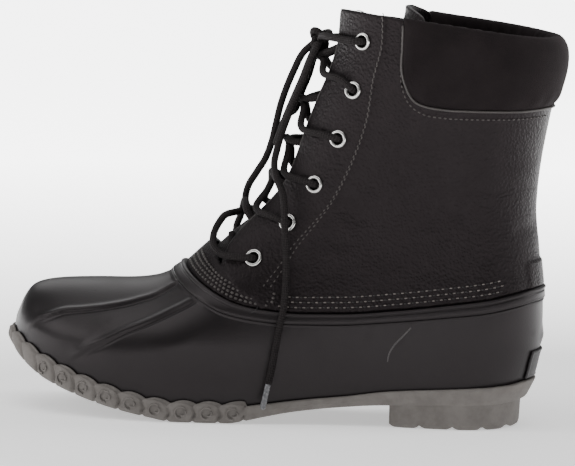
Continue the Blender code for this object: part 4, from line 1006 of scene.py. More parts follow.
# Free strands from the knot: first and last step on it, then (place, rise, out in diameters)
cordRoutes = {
    "laceLoopNear": (-1.5, -0.5, (
        (-0.0145, 1.30, 2.05), (-0.0145, 1.00, 2.10), (-0.0135, 0.76, 2.15), (-0.009, 0.62, 2.20),
        (-0.003, 0.62, 2.20), (-0.002, 0.76, 2.15), (-0.002, 1.00, 2.10), (-0.002, 1.30, 2.05))),
    "laceLoopFar": (1.5, 2.5, (
        (0.011, 1.30, 2.10), (0.014, 1.05, 2.15), (0.018, 0.86, 2.20), (0.030, 0.76, 2.20),
        (0.052, 0.76, 2.25), (0.060, 0.88, 2.25), (0.044, 1.08, 2.20), (0.028, 1.32, 2.15))),
    "laceEndNear": (-2.5, None, (
        (-0.039, 1.30, 2.05), (-0.043, 1.05, 2.10), (-0.052, 0.83, 2.20), (-0.075, 0.67, 2.35),
        (-0.160, 0.59, 2.55), (-0.199, 0.47, 2.60), (-0.222, 0.35, 2.45), (-0.246, 0.22, 1.80),
        (-0.296, 0.04, 1.43), (-0.390, -0.32, 1.15), (-0.480, -0.68, 1.20), (-0.500, -0.84, 1.60))),
    "laceEndFar": (0.5, None, (
        (0.001, 1.42, 2.90), (0.001, 1.15, 3.50), (0.003, 0.85, 3.70), (0.020, 0.55, 3.10),
        (0.120, 0.33, 2.60), (0.220, 0.20, 1.80), (0.290, 0.02, 1.45), (0.380, -0.35, 1.20),
        (0.450, -0.68, 1.25), (0.470, -0.82, 1.70))),
}
cordNodes = {"laceLoopNear": "lace_loop_near", "laceLoopFar": "lace_loop_far",
             "laceEndNear": "lace_end_near", "laceEndFar": "lace_end_far"}


def cordLine(first, last, rows, top):
    line = offsetPoint(*(np.array(rows) * np.array([1.0, 1.0, laceDiameter])).T)
    ends = [onKnot(top, first, line[0]), line]
    if last is not None:
        ends.append(onKnot(top, last, line[-1])[::-1])
    return through(np.concatenate(ends), laceDiameter * laceSettings["bendStep"])


def makeKnot(top, c):
    # A small overhand knot on the lace between the two top eyelets
    step = c["knotStep"]
    middle = runOf(top)[-1] * 0.5
    centre = partOf(top, middle - step, middle + step, step).mean(axis=0)
    turns = np.linspace(0.0, 2.0 * math.pi, 73)
    trefoil = np.stack([np.sin(turns) + 2.0 * np.sin(2.0 * turns),
                        np.cos(turns) - 2.0 * np.cos(2.0 * turns),
                        -1.3 * np.sin(3.0 * turns)], axis=-1) * (laceDiameter * c["knotSize"])
    facing = Vector(c["knotFacing"]).normalized()
    rise = (Vector((0.0, 0.0, 1.0)) - facing * facing.z).normalized()
    basis = np.array([facing.cross(rise), rise, facing])
    thick = laceDiameter * c["knotStrand"]
    wound = tubePiece("knotWinding", centre + trefoil @ basis, thick, braid, c["sides"])
    half = c["knotLength"] * 0.5
    straight = partOf(top, middle - half, middle + half, step)
    bar = tubePiece("knotBar", straight, laceDiameter * 0.5, braid, c["sides"])
    return settle(joinPieces("laceKnot", [wound, bar]), "black_cord", "lace_knot")


def makeCords(c):
    top = topLine()
    knot = makeKnot(top, c)
    for name, (first, last, rows) in cordRoutes.items():
        coarse = cordLine(first, last, rows, top)
        line = through(coarse, c["step"])
        piece = tubePiece(name, line, laceDiameter * 0.5, braid, c["sides"])
        settle(piece, "black_cord", cordNodes[name])
        extras = [knot] if name == "laceLoopNear" else []
        if last is None:
            ahead = (coarse[-1] - coarse[-2]) / np.linalg.norm(coarse[-1] - coarse[-2])
            start = line[-1] - ahead * c["tipOverlap"]
            stops = (0.0, 0.5 * c["tipLength"], c["tipLength"] + c["tipOverlap"])
            tip = through(np.array([start + ahead * stop for stop in stops]), c["tipStep"])
            word = "Near" if "Near" in name else "Far"
            radius = laceDiameter * 0.5 * c["tipShare"]
            tipPiece = tubePiece("aglet" + word, tip, radius, clearTip, c["sides"])
            settle(tipPiece, "grey_tip", "aglet_" + word.lower())
            extras.append(tipPiece)
        float(runOf(line)[-1])


makeCords(laceSettings)


print("stage: laced crossings")
crossingSettings = {"inHole": -0.0035, "atHole": 0.0008, "onEyelet": 0.0034, "overFlap": 0.0040,
                    "underFlap": -0.0047, "centreOver": 1.10, "centreUnder": 0.45, "fromHole": 0.0035,
                    "knotStep": 0.006}


slackStrand = [(-0.192, 0.190, 0.0032), (-0.160, 0.162, 0.0042), (-0.105, 0.152, 0.0050),
               (-0.050, 0.165, 0.0056), (-0.015, 0.200, 0.0058), (0.025, 0.245, 0.0042)]


def zigRoute(low, high, side, centreOut, c):
    # Out of the lower eyelet, over its flap, across the throat and under the other flap
    a, b = eyeletRows["at"][low], eyeletRows["at"][high]
    v, w = eyeletRows["rise"][low], eyeletRows["rise"][high]
    mid = centreOut * laceDiameter
    rows = ((a, 0.0, c["inHole"]), (a, 0.0, c["atHole"]), (a - 0.012, 0.05, c["onEyelet"]),
            (throatAt, 0.18, c["overFlap"]), (0.09, 0.36, blend(c["overFlap"], mid, 0.6)), (0.0, 0.52, mid),
            (-0.09, 0.70, 0.0), (-0.150, 0.86, c["underFlap"]), (-(b - 0.008), 0.97, c["underFlap"]))
    return [(side * place, blend(v, w, share), out) for place, share, out in rows]


def makeCrossings(c):
    top = topLine()
    run = runOf(top)
    reach = (run[-1] - laceSettings["knotLength"]) * 0.5
    lines = []
    for start in (-1.0, 1.0):
        side = start
        last = len(eyeletRows["at"]) - 1
        low = (eyeletRows["at"][last], eyeletRows["rise"][last])
        rows = [(side * 0.02, low[1], -0.0035), (side * 0.10, low[1], -0.0042),
                (side * (low[0] - 0.02), low[1], c["underFlap"])]
        for i in range(last, 0, -1):
            over = c["centreOver"] if (i % 2 == 0) == (start < 0) else c["centreUnder"]
            zig = zigRoute(i, i - 1, side, over, c)
            if i == last and side < 0:  # the slack lowest strand bows out in front of the flap
                zig = zig[:2] + slackStrand + zig[6:]
            rows += zig
            side = -side
        place, rise = side * eyeletRows["at"][0], eyeletRows["rise"][0]
        rows += [(place, rise, c["inHole"]), (place, rise, c["atHole"])]
        line = offsetPoint(*np.array(rows).T)
        if side < 0:
            toKnot = partOf(top, c["fromHole"], reach, c["knotStep"])
        else:
            toKnot = partOf(top, run[-1] - reach, run[-1] - c["fromHole"], c["knotStep"])[::-1]
        lines.append(through(np.concatenate([line, toKnot]), laceSettings["step"]))
    strands = [tubePiece("strand%d" % i, line, laceDiameter * 0.5, braid, 10)
               for i, line in enumerate(lines)]
    return settle(joinPieces("laceCrossings", strands), "black_cord", "lace_crossings")


makeCrossings(crossingSettings)


print("stage: rubber shell")
shellSettings = {"cell": 0.0010, "rearCell": 0.0023, "fineTo": 0.21, "rows": 74, "ridgeHigh": 0.0014,
                 "ridgeAbove": 0.0026, "ridgeBelow": 0.0010, "creaseDeep": 0.0007, "creaseAt": 0.0022,
                 "creaseWide": 0.0009, "fadeLow": 0.22, "fadeHigh": 0.03, "bumpHigh": 0.0012,
                 "bumpWide": 0.0045, "bumpAt": ((0.999, -0.52), (0.9999, -0.50)), "flangeRise": 0.82}
# The rim band from below: distance under the rim, and how far out
bandProfile = ((0.0094, 0.0), (0.0089, 0.0005), (0.0085, 0.0006), (0.0081, 0.0003), (0.0078, -0.0001),
               (0.0075, 0.0008), (0.0070, 0.0012), (0.0055, 0.0012), (0.0036, 0.0012), (0.0031, 0.0011),
               (0.0027, 0.0006), (0.0023, 0.0012), (0.0016, 0.0018), (0.0009, 0.0017), (0.0003, 0.0011),
               (0.0, 0.0002))
# Ridges of the toe as (place, rise): the one lower on each side, the one by the crest, and the far side's
outerRidge = ((0.122, -0.93), (0.136, -0.88), (0.152, -0.82), (0.169, -0.74), (0.160, -0.61),
              (0.136, -0.42), (0.104, -0.24), (0.091, -0.14), (0.087, -0.06))
nearRidge = ((0.033, -0.92), (0.043, -0.84), (0.058, -0.79), (0.070, -0.72), (0.077, -0.64), (0.075, -0.52),
             (0.068, -0.41), (0.055, -0.30), (0.046, -0.22), (0.037, -0.16), (0.029, -0.06))
farRidge = ((0.007, -0.78), (0.037, -0.67), (0.056, -0.55), (0.061, -0.41), (0.050, -0.31), (0.039, -0.23),
            (0.022, -0.13), (0.014, -0.06))
# A fine arc on the side of the shell, in front of the heel
sideArc = ((0.685, -0.20), (0.6845, -0.32), (0.686, -0.45), (0.695, -0.58), (0.711, -0.70))


def shellRelief(points, s, v, c):
    out = np.zeros(s.shape)
    for side, rows in ((-1.0, nearRidge), (-1.0, outerRidge), (1.0, outerRidge), (1.0, farRidge)):
        reach, share = nearLine(points, onForm([(side * p, r) for p, r in rows]))
        edge = np.interp(v, [r for _, r in rows], [p for p, _ in rows])
        outside = np.abs(s) > edge
        width = np.where(outside, c["ridgeBelow"], c["ridgeAbove"])
        fade = smoothStep(share / c["fadeLow"]) * smoothStep((1.0 - share) / c["fadeHigh"])
        out += c["ridgeHigh"] * bell(reach, width) * fade
        out -= c["creaseDeep"] * bell(reach - c["creaseAt"], c["creaseWide"]) * outside * fade
    lump, _ = nearLine(points, onForm(c["bumpAt"]))
    return out + c["bumpHigh"] * bell(lump, c["bumpWide"])


def makeShell(c):
    half = np.concatenate([evenPlaces(-0.45, c["cell"], (0.0, c["fineTo"]))[:-1],
                           evenPlaces(-0.45, c["rearCell"], (c["fineTo"], 1.0))])
    ring = ringOf(half)
    count = len(ring)
    tall = spanHeight(ring, -1.0, 0.0)
    first = -bandProfile[0][0] / tall
    steps = np.linspace(0.0, 1.0, c["rows"])[:-1]
    v = np.array([-1.0 + t * (1.0 + first) for t in steps] + [-low / tall for low, _ in bandProfile])
    s = np.tile(ring, (len(v), 1))
    point, _ = formPoint(s, v)
    out = shellRelief(point, s, v, c)
    for i, (low, lift) in enumerate(bandProfile):
        out[len(steps) + i] = out[len(steps) + i] * low / bandProfile[0][0] * 0.5 + lift
    wall = np.full(s.shape, -shellWall)
    flange = -(leatherWall + gap)
    rise = throatFloor * c["flangeRise"]
    for share in (0.0, 0.5, 1.0):
        s = np.vstack([s, ring])
        v = np.vstack([v, np.full(count, rise * share)])
        out = np.vstack([out, np.full(count, flange)])
        wall = np.vstack([wall, np.full(count, flange - flangeWall)])
    keep = np.ones((len(s) - 1, count), dtype=bool)
    piece = wallPiece("rubberShell", s, v, out, wall, keep, satinRubber, ring=True)
    return settle(piece, "black_rubber", "shell")


makeShell(shellSettings)

beadSettings = {"radius": 0.0005, "sink": 0.00015, "endSink": 0.0006, "sides": 8}
# A painted highlight: the bead's rubber is made far lighter than the shell's
beadPaintedHighlight = makeThread("beadPaintedHighlight", tone(0.035, 0.031, 0.031), tone(0.075, 0.068, 0.068))


def makeSideBeads(c):
    # A fine raised arc on each side of the shell, in a tone far lighter than the shell's rubber: a painted
    # highlight along the arc
    parts = []
    for side in (-1.0, 1.0):
        line = offLine([(side * p, r, c["sink"]) for p, r in sideArc], 0.0008)
        share = np.linspace(0.0, 1.0, len(line))
        ends = (sideArc[0], sideArc[-1])
        place, rise = (np.interp(share, (0.0, 1.0), [end[k] for end in ends]) for k in (0, 1))
        _, normal = formPoint(side * place, rise)
        sunk = line - normal * c["endSink"] * share[:, None] ** 2
        parts.append(tubePiece("bead", sunk, c["radius"], beadPaintedHighlight, c["sides"]))
    return settle(joinPieces("sideBeads", parts), "black_rubber")


makeSideBeads(beadSettings)


print("stage: sole")
soleSettings = {"perTab": 18, "rearColumns": 130, "tabRise": 0.0024, "tabBulge": 0.0013,
                "tabGroove": 0.0019, "backRise": 0.0008, "backShift": 0.16, "treadUp": 0.0020, "lean": 0.10,
                "rearCrowd": 1.15, "treadGroove": 0.0008, "faceSteps": 13, "lipPart": 0.25,
                "cornerIn": 0.0022, "curlPhase": 0.555, "curlRow": 5, "curlSides": 0.72, "curlLift": 0.0002,
                "lipAlong": (0.10, 0.30, 0.50, 0.56), "lipHigh": (0.0045, 0.0030, 0.0024, 0.0014)}


def tabShape(phase):
    # Each petal peaks before its middle and falls into a groove behind
    phase = phase % 1.0
    arch = np.sin(math.pi * phase ** 0.868) ** 0.6
    edge = np.minimum(phase, 1.0 - phase)
    return arch, bell(edge, 0.06)


def soleColumns(c):
    dense = np.linspace(0.0, 1.0, 3201)
    halves, phases, tabs = [], [], 0
    for side in (-1.0, 1.0):
        point, _ = formPoint(dense * side, -1.0)
        run = runOf(point)
        frontRun = float(run[np.argmax(point[:, 0] > xAt(scallopEnd))])
        tabs = tabs or int(round(frontRun / scallopPitch))
        front = np.linspace(0.0, frontRun, c["perTab"] * tabs + 1)
        left = np.linspace(1.0, 0.0, c["rearColumns"] + 1)[1:] ** c["rearCrowd"]
        rear = run[-1] - (run[-1] - frontRun) * left
        halves.append(np.interp(np.concatenate([front, rear]), run, dense))
        phases.append(np.concatenate([np.linspace(0.0, tabs, len(front)) % 1.0, np.zeros(len(rear))]))
    isTab = np.concatenate([np.ones(c["perTab"] * tabs + 1), np.zeros(c["rearColumns"])])
    ring = np.concatenate([-halves[0][::-1], halves[1][1:-1]])
    phase = np.concatenate([phases[0][::-1], phases[1][1:-1]])
    mark = np.concatenate([isTab[::-1], isTab[1:-1]])
    return ring, phase, mark, len(halves[0])


def levelOut(s):
    # The feather edge and the level way out from it
    point, normal = formPoint(s, -1.0)
    normal = normal * np.array([1.0, 1.0, 0.0])
    return point, unit(normal)


def deckFaces(halfCount, shift):
    tip, total = halfCount - 1, 2 * halfCount - 2
    faces = []
    for i in range(halfCount - 1):
        corners = (tip - i, tip - i - 1, (tip + i + 1) % total, (tip + i) % total)
        faces.append(tuple(dict.fromkeys(shift + corner for corner in corners)))
    return faces


def makeSole(c):
    ring, phase, mark, halfCount = soleColumns(c)
    foot, out = levelOut(ring)
    tall = spanHeight(ring, -1.0, 0.0)
    arch, groove = tabShape(phase)
    arch, groove = arch * mark, groove * mark
    backArch = tabShape(phase - c["backShift"])[0] * mark
    lipBase = np.interp(alongAt(foot[:, 0]), c["lipAlong"], c["lipHigh"])
    lipV = -1.0 + (lipBase + c["tabRise"] * arch) / tall
    backV = -1.0 + (lipBase + c["tabRise"] * backArch + c["backRise"] * mark) / tall
    backV = np.maximum(backV, lipV)
    tuck = soleTuck * out[:, 0] ** 2
    tread = treadZ(foot[:, 0]) + c["treadGroove"] * groove

    def ringAt(offset, z):
        level = foot + out * np.asarray(offset)[..., None]
        level[:, 2] = z
        return level

    lipEdge = offsetPoint(ring, lipV - 0.0005 / tall, soleFit + lipWall * 0.95)
    wallTop = ringAt(soleFit + lipWall, foot[:, 2] - soleFit)
    wallLow = ringAt(soleFit + lipWall * 0.8 - tuck * 0.55, tread + treadRound)
    rings = [ringAt(soleFit, foot[:, 2] - soleFit)]
    # The petals' tops, from the shell outwards
    for height, step in ((backV, 0.0), (backV, 0.0010), (lipV, 0.0011), (lipV, 0.0016)):
        rings.append(offsetPoint(ring, height, soleFit + step))
    faceRings = []
    lip = c["lipPart"]
    for t in np.linspace(0.0, 1.0, c["faceSteps"]):
        if t < lip:
            base = blend(lipEdge, wallTop, t / lip)
        else:
            base = blend(wallTop, wallLow, (t - lip) / (1.0 - lip))
        arch, groove = tabShape(phase - c["lean"] * math.sin(math.pi * t))
        bulge = c["tabBulge"] * arch * math.sin(math.pi * (0.10 + 0.80 * t))
        bulge = bulge - c["tabGroove"] * groove * min(1.0, 0.4 + t)
        faceRings.append(base + out * (bulge * mark)[:, None])
    rings += faceRings
    for t in (0.35, 0.7, 1.0):
        turn = t * math.pi * 0.5
        inward = (1.0 - math.cos(turn)) * c["cornerIn"] + 0.0010 * groove * mark
        rings.append(ringAt(soleFit + lipWall * 0.8 - tuck * (0.55 + 0.45 * t) - inward,
                            tread + treadRound * (1.0 - math.sin(turn))))
    for inward, up in ((0.0035, 0.0002), (0.0042, c["treadUp"])):  # the rim that the tread is sunk in
        rings.append(ringAt(-inward - tuck, tread + up))
    points = np.concatenate(rings)
    faces = loft(rings, True)
    faces += deckFaces(halfCount, 0) + deckFaces(halfCount, (len(rings) - 1) * len(ring))
    piece = addPiece("treadSole", points, faces, soleRubber)
    settle(piece, "grey_rubber", "outsole")
    centres = np.abs(phase - c["curlPhase"]) < 0.5 / c["perTab"]
    centres = centres & (mark > 0) & (np.abs(out[:, 1]) > c["curlSides"])
    spots = (faceRings[c["curlRow"]] + out * c["curlLift"])[centres]
    aims = np.stack([-out[:, 1], out[:, 0], np.zeros(len(ring))], axis=-1)[centres]
    return spots, aims, out[centres]


curlSpots, curlAims, curlOuts = makeSole(soleSettings)

heelSettings = {"cell": 0.0016, "inset": 0.0012, "notch": 0.0016, "notchWide": 0.0016, "notchHigh": 0.3,
                "notchAt": (-0.031, -0.013, 0.006, 0.023, 0.036), "tuckShare": 1.25}
# From the ledge down: step in, height (as a share of the heel's, unless it stands on the tread)
heelLevels = ((-0.0006, heelEmbed, True), (0.0, 0.0, True), (0.0003, 0.62, False), (0.0004, 0.40, False),
              (0.0006, 0.20, False), (0.0012, 0.08, False), (0.0030, 0.0, False))


def makeHeel(c):
    # The block under the rear: a ledge, an upright wall and notches along its lower edge
    places = roundBack(evenPlaces(-1.0, c["cell"], (heelFrontAt, 1.0)))
    foot, out = levelOut(places)
    tuck = soleTuck * out[:, 0] ** 2
    count = len(places)
    rings = []
    for step, height, fromTread in heelLevels:
        level = foot + out * (lipWall - (c["inset"] + step) - tuck * c["tuckShare"])[:, None]
        ends = smoothStep(np.minimum(np.arange(count), count - 1 - np.arange(count)) / 6.0)
        level[:, 1] = level[:, 1] * (0.93 + 0.07 * ends)
        level[:, 2] = treadZ(foot[:, 0]) + height if fromTread else heelHeight * height
        if not fromTread and height < c["notchHigh"]:
            for x in c["notchAt"]:
                fade = 1.0 - height / c["notchHigh"]
                level[:, 2] += c["notch"] * bell(level[:, 0] - x, c["notchWide"]) * fade
        rings.append(level)
    points = np.concatenate(rings)
    faces = loft(rings, True)
    total = len(rings)
    for base in (0, (total - 1) * count):
        for i in range(count // 2):
            corners = (base + i, base + i + 1, base + count - 2 - i, base + count - 1 - i)
            faces.append(tuple(dict.fromkeys(corners)))
    return settle(addPiece("heelBlock", points, faces, soleRubber), "grey_rubber", "outsole")


makeHeel(heelSettings)


print("stage: repeats")


def pointCloud(name, spots, aims, outs):
    cloud = bpy.data.meshes.new(name + "Points")
    cloud.from_pydata(np.asarray(spots).tolist(), [], [])
    for label, rows in (("aim", aims), ("out", outs)):
        layer = cloud.attributes.new(label, "FLOAT_VECTOR", "POINT")
        layer.data.foreach_set("vector", np.asarray(rows, dtype=float).reshape(-1))
    return linked(name + "Holder", cloud)


def nodeMaker(tree):
    def node(kind, inputs, **settings):
        # Inputs are values, sockets, nodes (their first output) or a list of them
        made = tree.nodes.new(kind)
        for key, value in settings.items():
            setattr(made, key, value)
        for key, value in inputs.items():
            for part in value if isinstance(value, list) else [value]:
                if isinstance(part, bpy.types.Node):
                    part = part.outputs[0]
                if isinstance(part, bpy.types.NodeSocket):
                    tree.links.new(part, made.inputs[key])
                else:
                    made.inputs[key].default_value = part
        return made
    return node


def repeatTree(name, sizes, shape):
    # One shape at every point, turned to the aim and out directions there
    tree = bpy.data.node_groups.new(name + "Tree", "GeometryNodeTree")
    face = tree.interface
    face.new_socket("Geometry", in_out="INPUT", socket_type="NodeSocketGeometry")
    sockets = {label: face.new_socket(label, in_out="INPUT", socket_type="NodeSocketFloat")
               for label in sizes}
    sockets["Finish"] = face.new_socket("Finish", in_out="INPUT", socket_type="NodeSocketMaterial")
    face.new_socket("Geometry", in_out="OUTPUT", socket_type="NodeSocketGeometry")
    entry = tree.nodes.new("NodeGroupInput")
    node = nodeMaker(tree)
    aim = node("GeometryNodeInputNamedAttribute", {"Name": "aim"}, data_type="FLOAT_VECTOR")
    away = node("GeometryNodeInputNamedAttribute", {"Name": "out"}, data_type="FLOAT_VECTOR")
    along = node("FunctionNodeAlignRotationToVector", {"Vector": aim}, axis="X")
    upright = node("FunctionNodeAlignRotationToVector", {"Rotation": along, "Vector": away},
                   axis="Z", pivot_axis="X")
    points = node("GeometryNodeMeshToPoints", {"Mesh": entry.outputs["Geometry"]})
    many = node("GeometryNodeInstanceOnPoints",
                {"Points": points, "Instance": shape(node, entry.outputs), "Rotation": upright})
    real = node("GeometryNodeRealizeInstances", {"Geometry": many})
    smoothed = node("GeometryNodeSetShadeSmooth", {"Geometry": real})
    painted = node("GeometryNodeSetMaterial", {"Geometry": smoothed, "Material": entry.outputs["Finish"]})
    tree.links.new(painted.outputs[0], tree.nodes.new("NodeGroupOutput").inputs["Geometry"])
    return tree, sockets


def repeatPiece(name, spots, aims, outs, sizes, shape, look):
    holder = pointCloud(name, spots, aims, outs)
    tree, sockets = repeatTree(name, sizes, shape)
    modifier = holder.modifiers.new("repeat", "NODES")
    modifier.node_group = tree
    for label, value in {**sizes, "Finish": look}.items():
        modifier[sockets[label].identifier] = value
    graph = bpy.context.evaluated_depsgraph_get()
    mesh = bpy.data.meshes.new_from_object(holder.evaluated_get(graph))
    mesh.materials.clear()
    mesh.materials.append(look)
    mesh.polygons.foreach_set("material_index", [0] * len(mesh.polygons))
    bpy.data.objects.remove(holder, do_unlink=True)
    return linked(name, mesh)


def scaled(node, shape, x, y, z):
    size = node("ShaderNodeCombineXYZ", {"X": x, "Y": y, "Z": z})
    return node("GeometryNodeTransform", {"Geometry": shape, "Scale": size})


def roundCurve(node, count, radius):
    return node("GeometryNodeCurvePrimitiveCircle", {"Resolution": count, "Radius": radius})


def swept(node, curve, profile):
    return node("GeometryNodeCurveToMesh", {"Curve": curve, "Profile Curve": profile})


def stitchShape(node, size):
    ball = node("GeometryNodeMeshUVSphere", {"Segments": 6, "Rings": 4, "Radius": 0.5})
    return scaled(node, ball, size["Length"], size["Width"], size["Height"])


barrelSpan = (-0.0036, 0.0003)  # behind and before the eyelet's plane


def eyeletShape(node, size):
    # A rolled lip and a barrel that goes through the leather
    lip = swept(node, roundCurve(node, 32, size["Middle Radius"]), roundCurve(node, 10, size["Lip Radius"]))
    low, high = barrelSpan
    line = node("GeometryNodeCurvePrimitiveLine", {"Start": (0.0, 0.0, low), "End": (0.0, 0.0, high)})
    barrel = swept(node, line, roundCurve(node, 32, size["Barrel Radius"]))
    flat = scaled(node, lip, 1.0, 1.0, size["Flatness"])
    return node("GeometryNodeJoinGeometry", {"Geometry": [flat, barrel]})


def curlShape(node, size):
    # Two arcs that curl into each other
    profile = roundCurve(node, 5, size["Bead"])
    pipes = []
    arcs = ((12, size["Curl Radius"], 0.9, 3.9), (8, size["Inner Radius"], 3.9, 3.3))
    for count, radius, start, sweep in arcs:
        arc = node("GeometryNodeCurveArc", {"Resolution": count, "Radius": radius, "Start Angle": start,
                                            "Sweep Angle": sweep}, mode="RADIUS")
        pipes.append(swept(node, arc, profile))
    moved = node("GeometryNodeTransform", {"Geometry": pipes[1], "Translation": (0.0014, 0.0, 0.0)})
    return node("GeometryNodeJoinGeometry", {"Geometry": [pipes[0], moved]})


curlSizes = {"Curl Radius": 0.0034, "Inner Radius": 0.0016, "Bead": 0.00062}
settle(repeatPiece("tabCurls", curlSpots, curlAims, curlOuts, curlSizes, curlShape, soleRubber),
       "grey_rubber", "outsole")


def lugShape(node, size):
    block = node("GeometryNodeMeshCone",
                 {"Vertices": 6, "Radius Top": 0.78, "Radius Bottom": 1.0, "Depth": 1.0})
    return scaled(node, block, size["Length"], size["Width"], size["Depth"])


lugSettings = {"pitchX": 0.0115, "pitchY": 0.0130, "front": 0.955, "rear": 0.33, "edgeClear": 0.0105,
               "sizes": {"Length": 0.0042, "Width": 0.0048, "Depth": 0.0026}}


def makeLugs(c):
    # Blocks under the forefoot and waist, in staggered rows, inside the sole's edge
    spots = []
    xs = np.arange(float(xAt(c["front"])), float(xAt(c["rear"])), c["pitchX"])
    for i, x in enumerate(xs):
        a = alongAt(x)
        low = (leanShare(a) - lateralShare(a)) * ballWidth
        high = (leanShare(a) + medialShare(a)) * ballWidth
        square = float(np.clip((x - xAt(1.0)) / (toeRoundShare * soleLength), 0.0, 1.0))
        shrink = math.sqrt(1.0 - (1.0 - square) ** 2)
        middle = 0.5 * (low + high)
        half = 0.5 * (high - low) * shrink - c["edgeClear"]
        for k in range(-5, 6):
            y = middle + (k + 0.5 * (i % 2)) * c["pitchY"]
            if abs(y - middle) < half:
                spots.append((x, y, float(treadZ(x)) + c["sizes"]["Depth"]))
    spots = np.array(spots)
    reach = 0.001  # to each side, to read the slope of the tread
    slope = (treadZ(spots[:, 0] + reach) - treadZ(spots[:, 0] - reach)) / (2.0 * reach)
    aims = np.stack([np.ones(len(spots)), np.zeros(len(spots)), slope], axis=-1)
    outs = np.stack([slope, np.zeros(len(spots)), -np.ones(len(spots))], axis=-1)
    piece = repeatPiece("treadLugs", spots, aims, outs, c["sizes"], lugShape, soleRubber)
    return settle(piece, "grey_rubber", "outsole")


makeLugs(lugSettings)


def eyeletSpots():
    s, v = [], []
    for side in (-1.0, 1.0):
        s += list(side * eyeletRows["at"])
        v += list(eyeletRows["rise"])
    point, normal = formPoint(np.array(s), np.array(v))
    return point + normal * stayStep, normal


eyeletSizes = {"Middle Radius": 0.00425, "Lip Radius": 0.00105, "Flatness": 0.75, "Barrel Radius": 0.0032}
holeCentres, holeAways = eyeletSpots()
holeAims = np.cross(holeAways, np.array([0.0, 0.0, 1.0]))
eyeletNodes = ["eyelet_%s_%d" % (word, number) for word in ("near", "far") for number in range(1, 7)]
eyeletLift = 0.0005
settle(repeatPiece("eyelets", holeCentres + holeAways * eyeletLift, holeAims, holeAways, eyeletSizes,
                   eyeletShape, steel), "polished_steel", *eyeletNodes)


print("stage: leather upper")
upperSettings = {"cell": 0.0017, "rowsLow": 84, "rowsHigh": 26, "holeClear": 0.0037,
                 "stripAt": 0.968, "stripTop": 0.155, "stripHigh": 0.0010, "stayBehindSeam": 0.0215,
                 "sway": 0.00030, "tuckIn": 0.0006, "tuckTall": 0.006}
# Creases: (side, places and rises, depth, width); minus is a ridge
creases = (
    (-1.0, ((0.93, 0.36), (0.965, 0.345), (1.0, 0.36)), 0.0007, 0.0040),
    (-1.0, ((0.90, 0.68), (0.95, 0.665), (1.0, 0.68)), -0.0005, 0.0045),
    (-1.0, ((0.275, 0.52), (0.34, 0.455), (0.43, 0.42), (0.52, 0.43)), 0.0011, 0.0055),
    (-1.0, ((0.275, 0.59), (0.35, 0.535), (0.44, 0.50), (0.50, 0.50)), -0.0007, 0.0060),
    (-1.0, ((0.285, 0.37), (0.36, 0.315), (0.45, 0.29)), 0.0007, 0.0050),
    (-1.0, ((0.80, 0.63), (0.88, 0.585), (0.95, 0.585), (1.0, 0.60)), 0.0006, 0.0045),
    (-1.0, ((0.84, 0.77), (0.92, 0.745), (1.0, 0.76)), 0.0005, 0.0045),
    (1.0, ((0.275, 0.50), (0.35, 0.44), (0.45, 0.41), (0.55, 0.42)), 0.0011, 0.0055),
    (1.0, ((0.285, 0.36), (0.37, 0.31), (0.46, 0.29)), 0.0007, 0.0050),
    (1.0, ((0.82, 0.61), (0.90, 0.575), (1.0, 0.59)), 0.0006, 0.0045),
    (-1.0, ((0.02, 0.06), (0.07, 0.075), (0.12, 0.08)), 0.0006, 0.0028),
    (1.0, ((0.02, 0.06), (0.07, 0.075), (0.12, 0.08)), 0.0006, 0.0028),
)
lobeAt = (0.168, 0.174, 0.179, 0.186, 0.203, 0.219, 0.245)
lobeRise = (0.22, 0.15, 0.09, 0.05, 0.035, 0.02, -0.02)
stayStitches = {"pitch": 0.0033, "line": (
    (0.242, 2.02), (0.249, 1.56), (0.247, 1.08), (0.256, 0.84), (0.254, 0.64), (0.243, 0.47), (0.240, 0.36),
    (0.239, 0.28), (0.238, 0.21), (0.228, 0.09))}


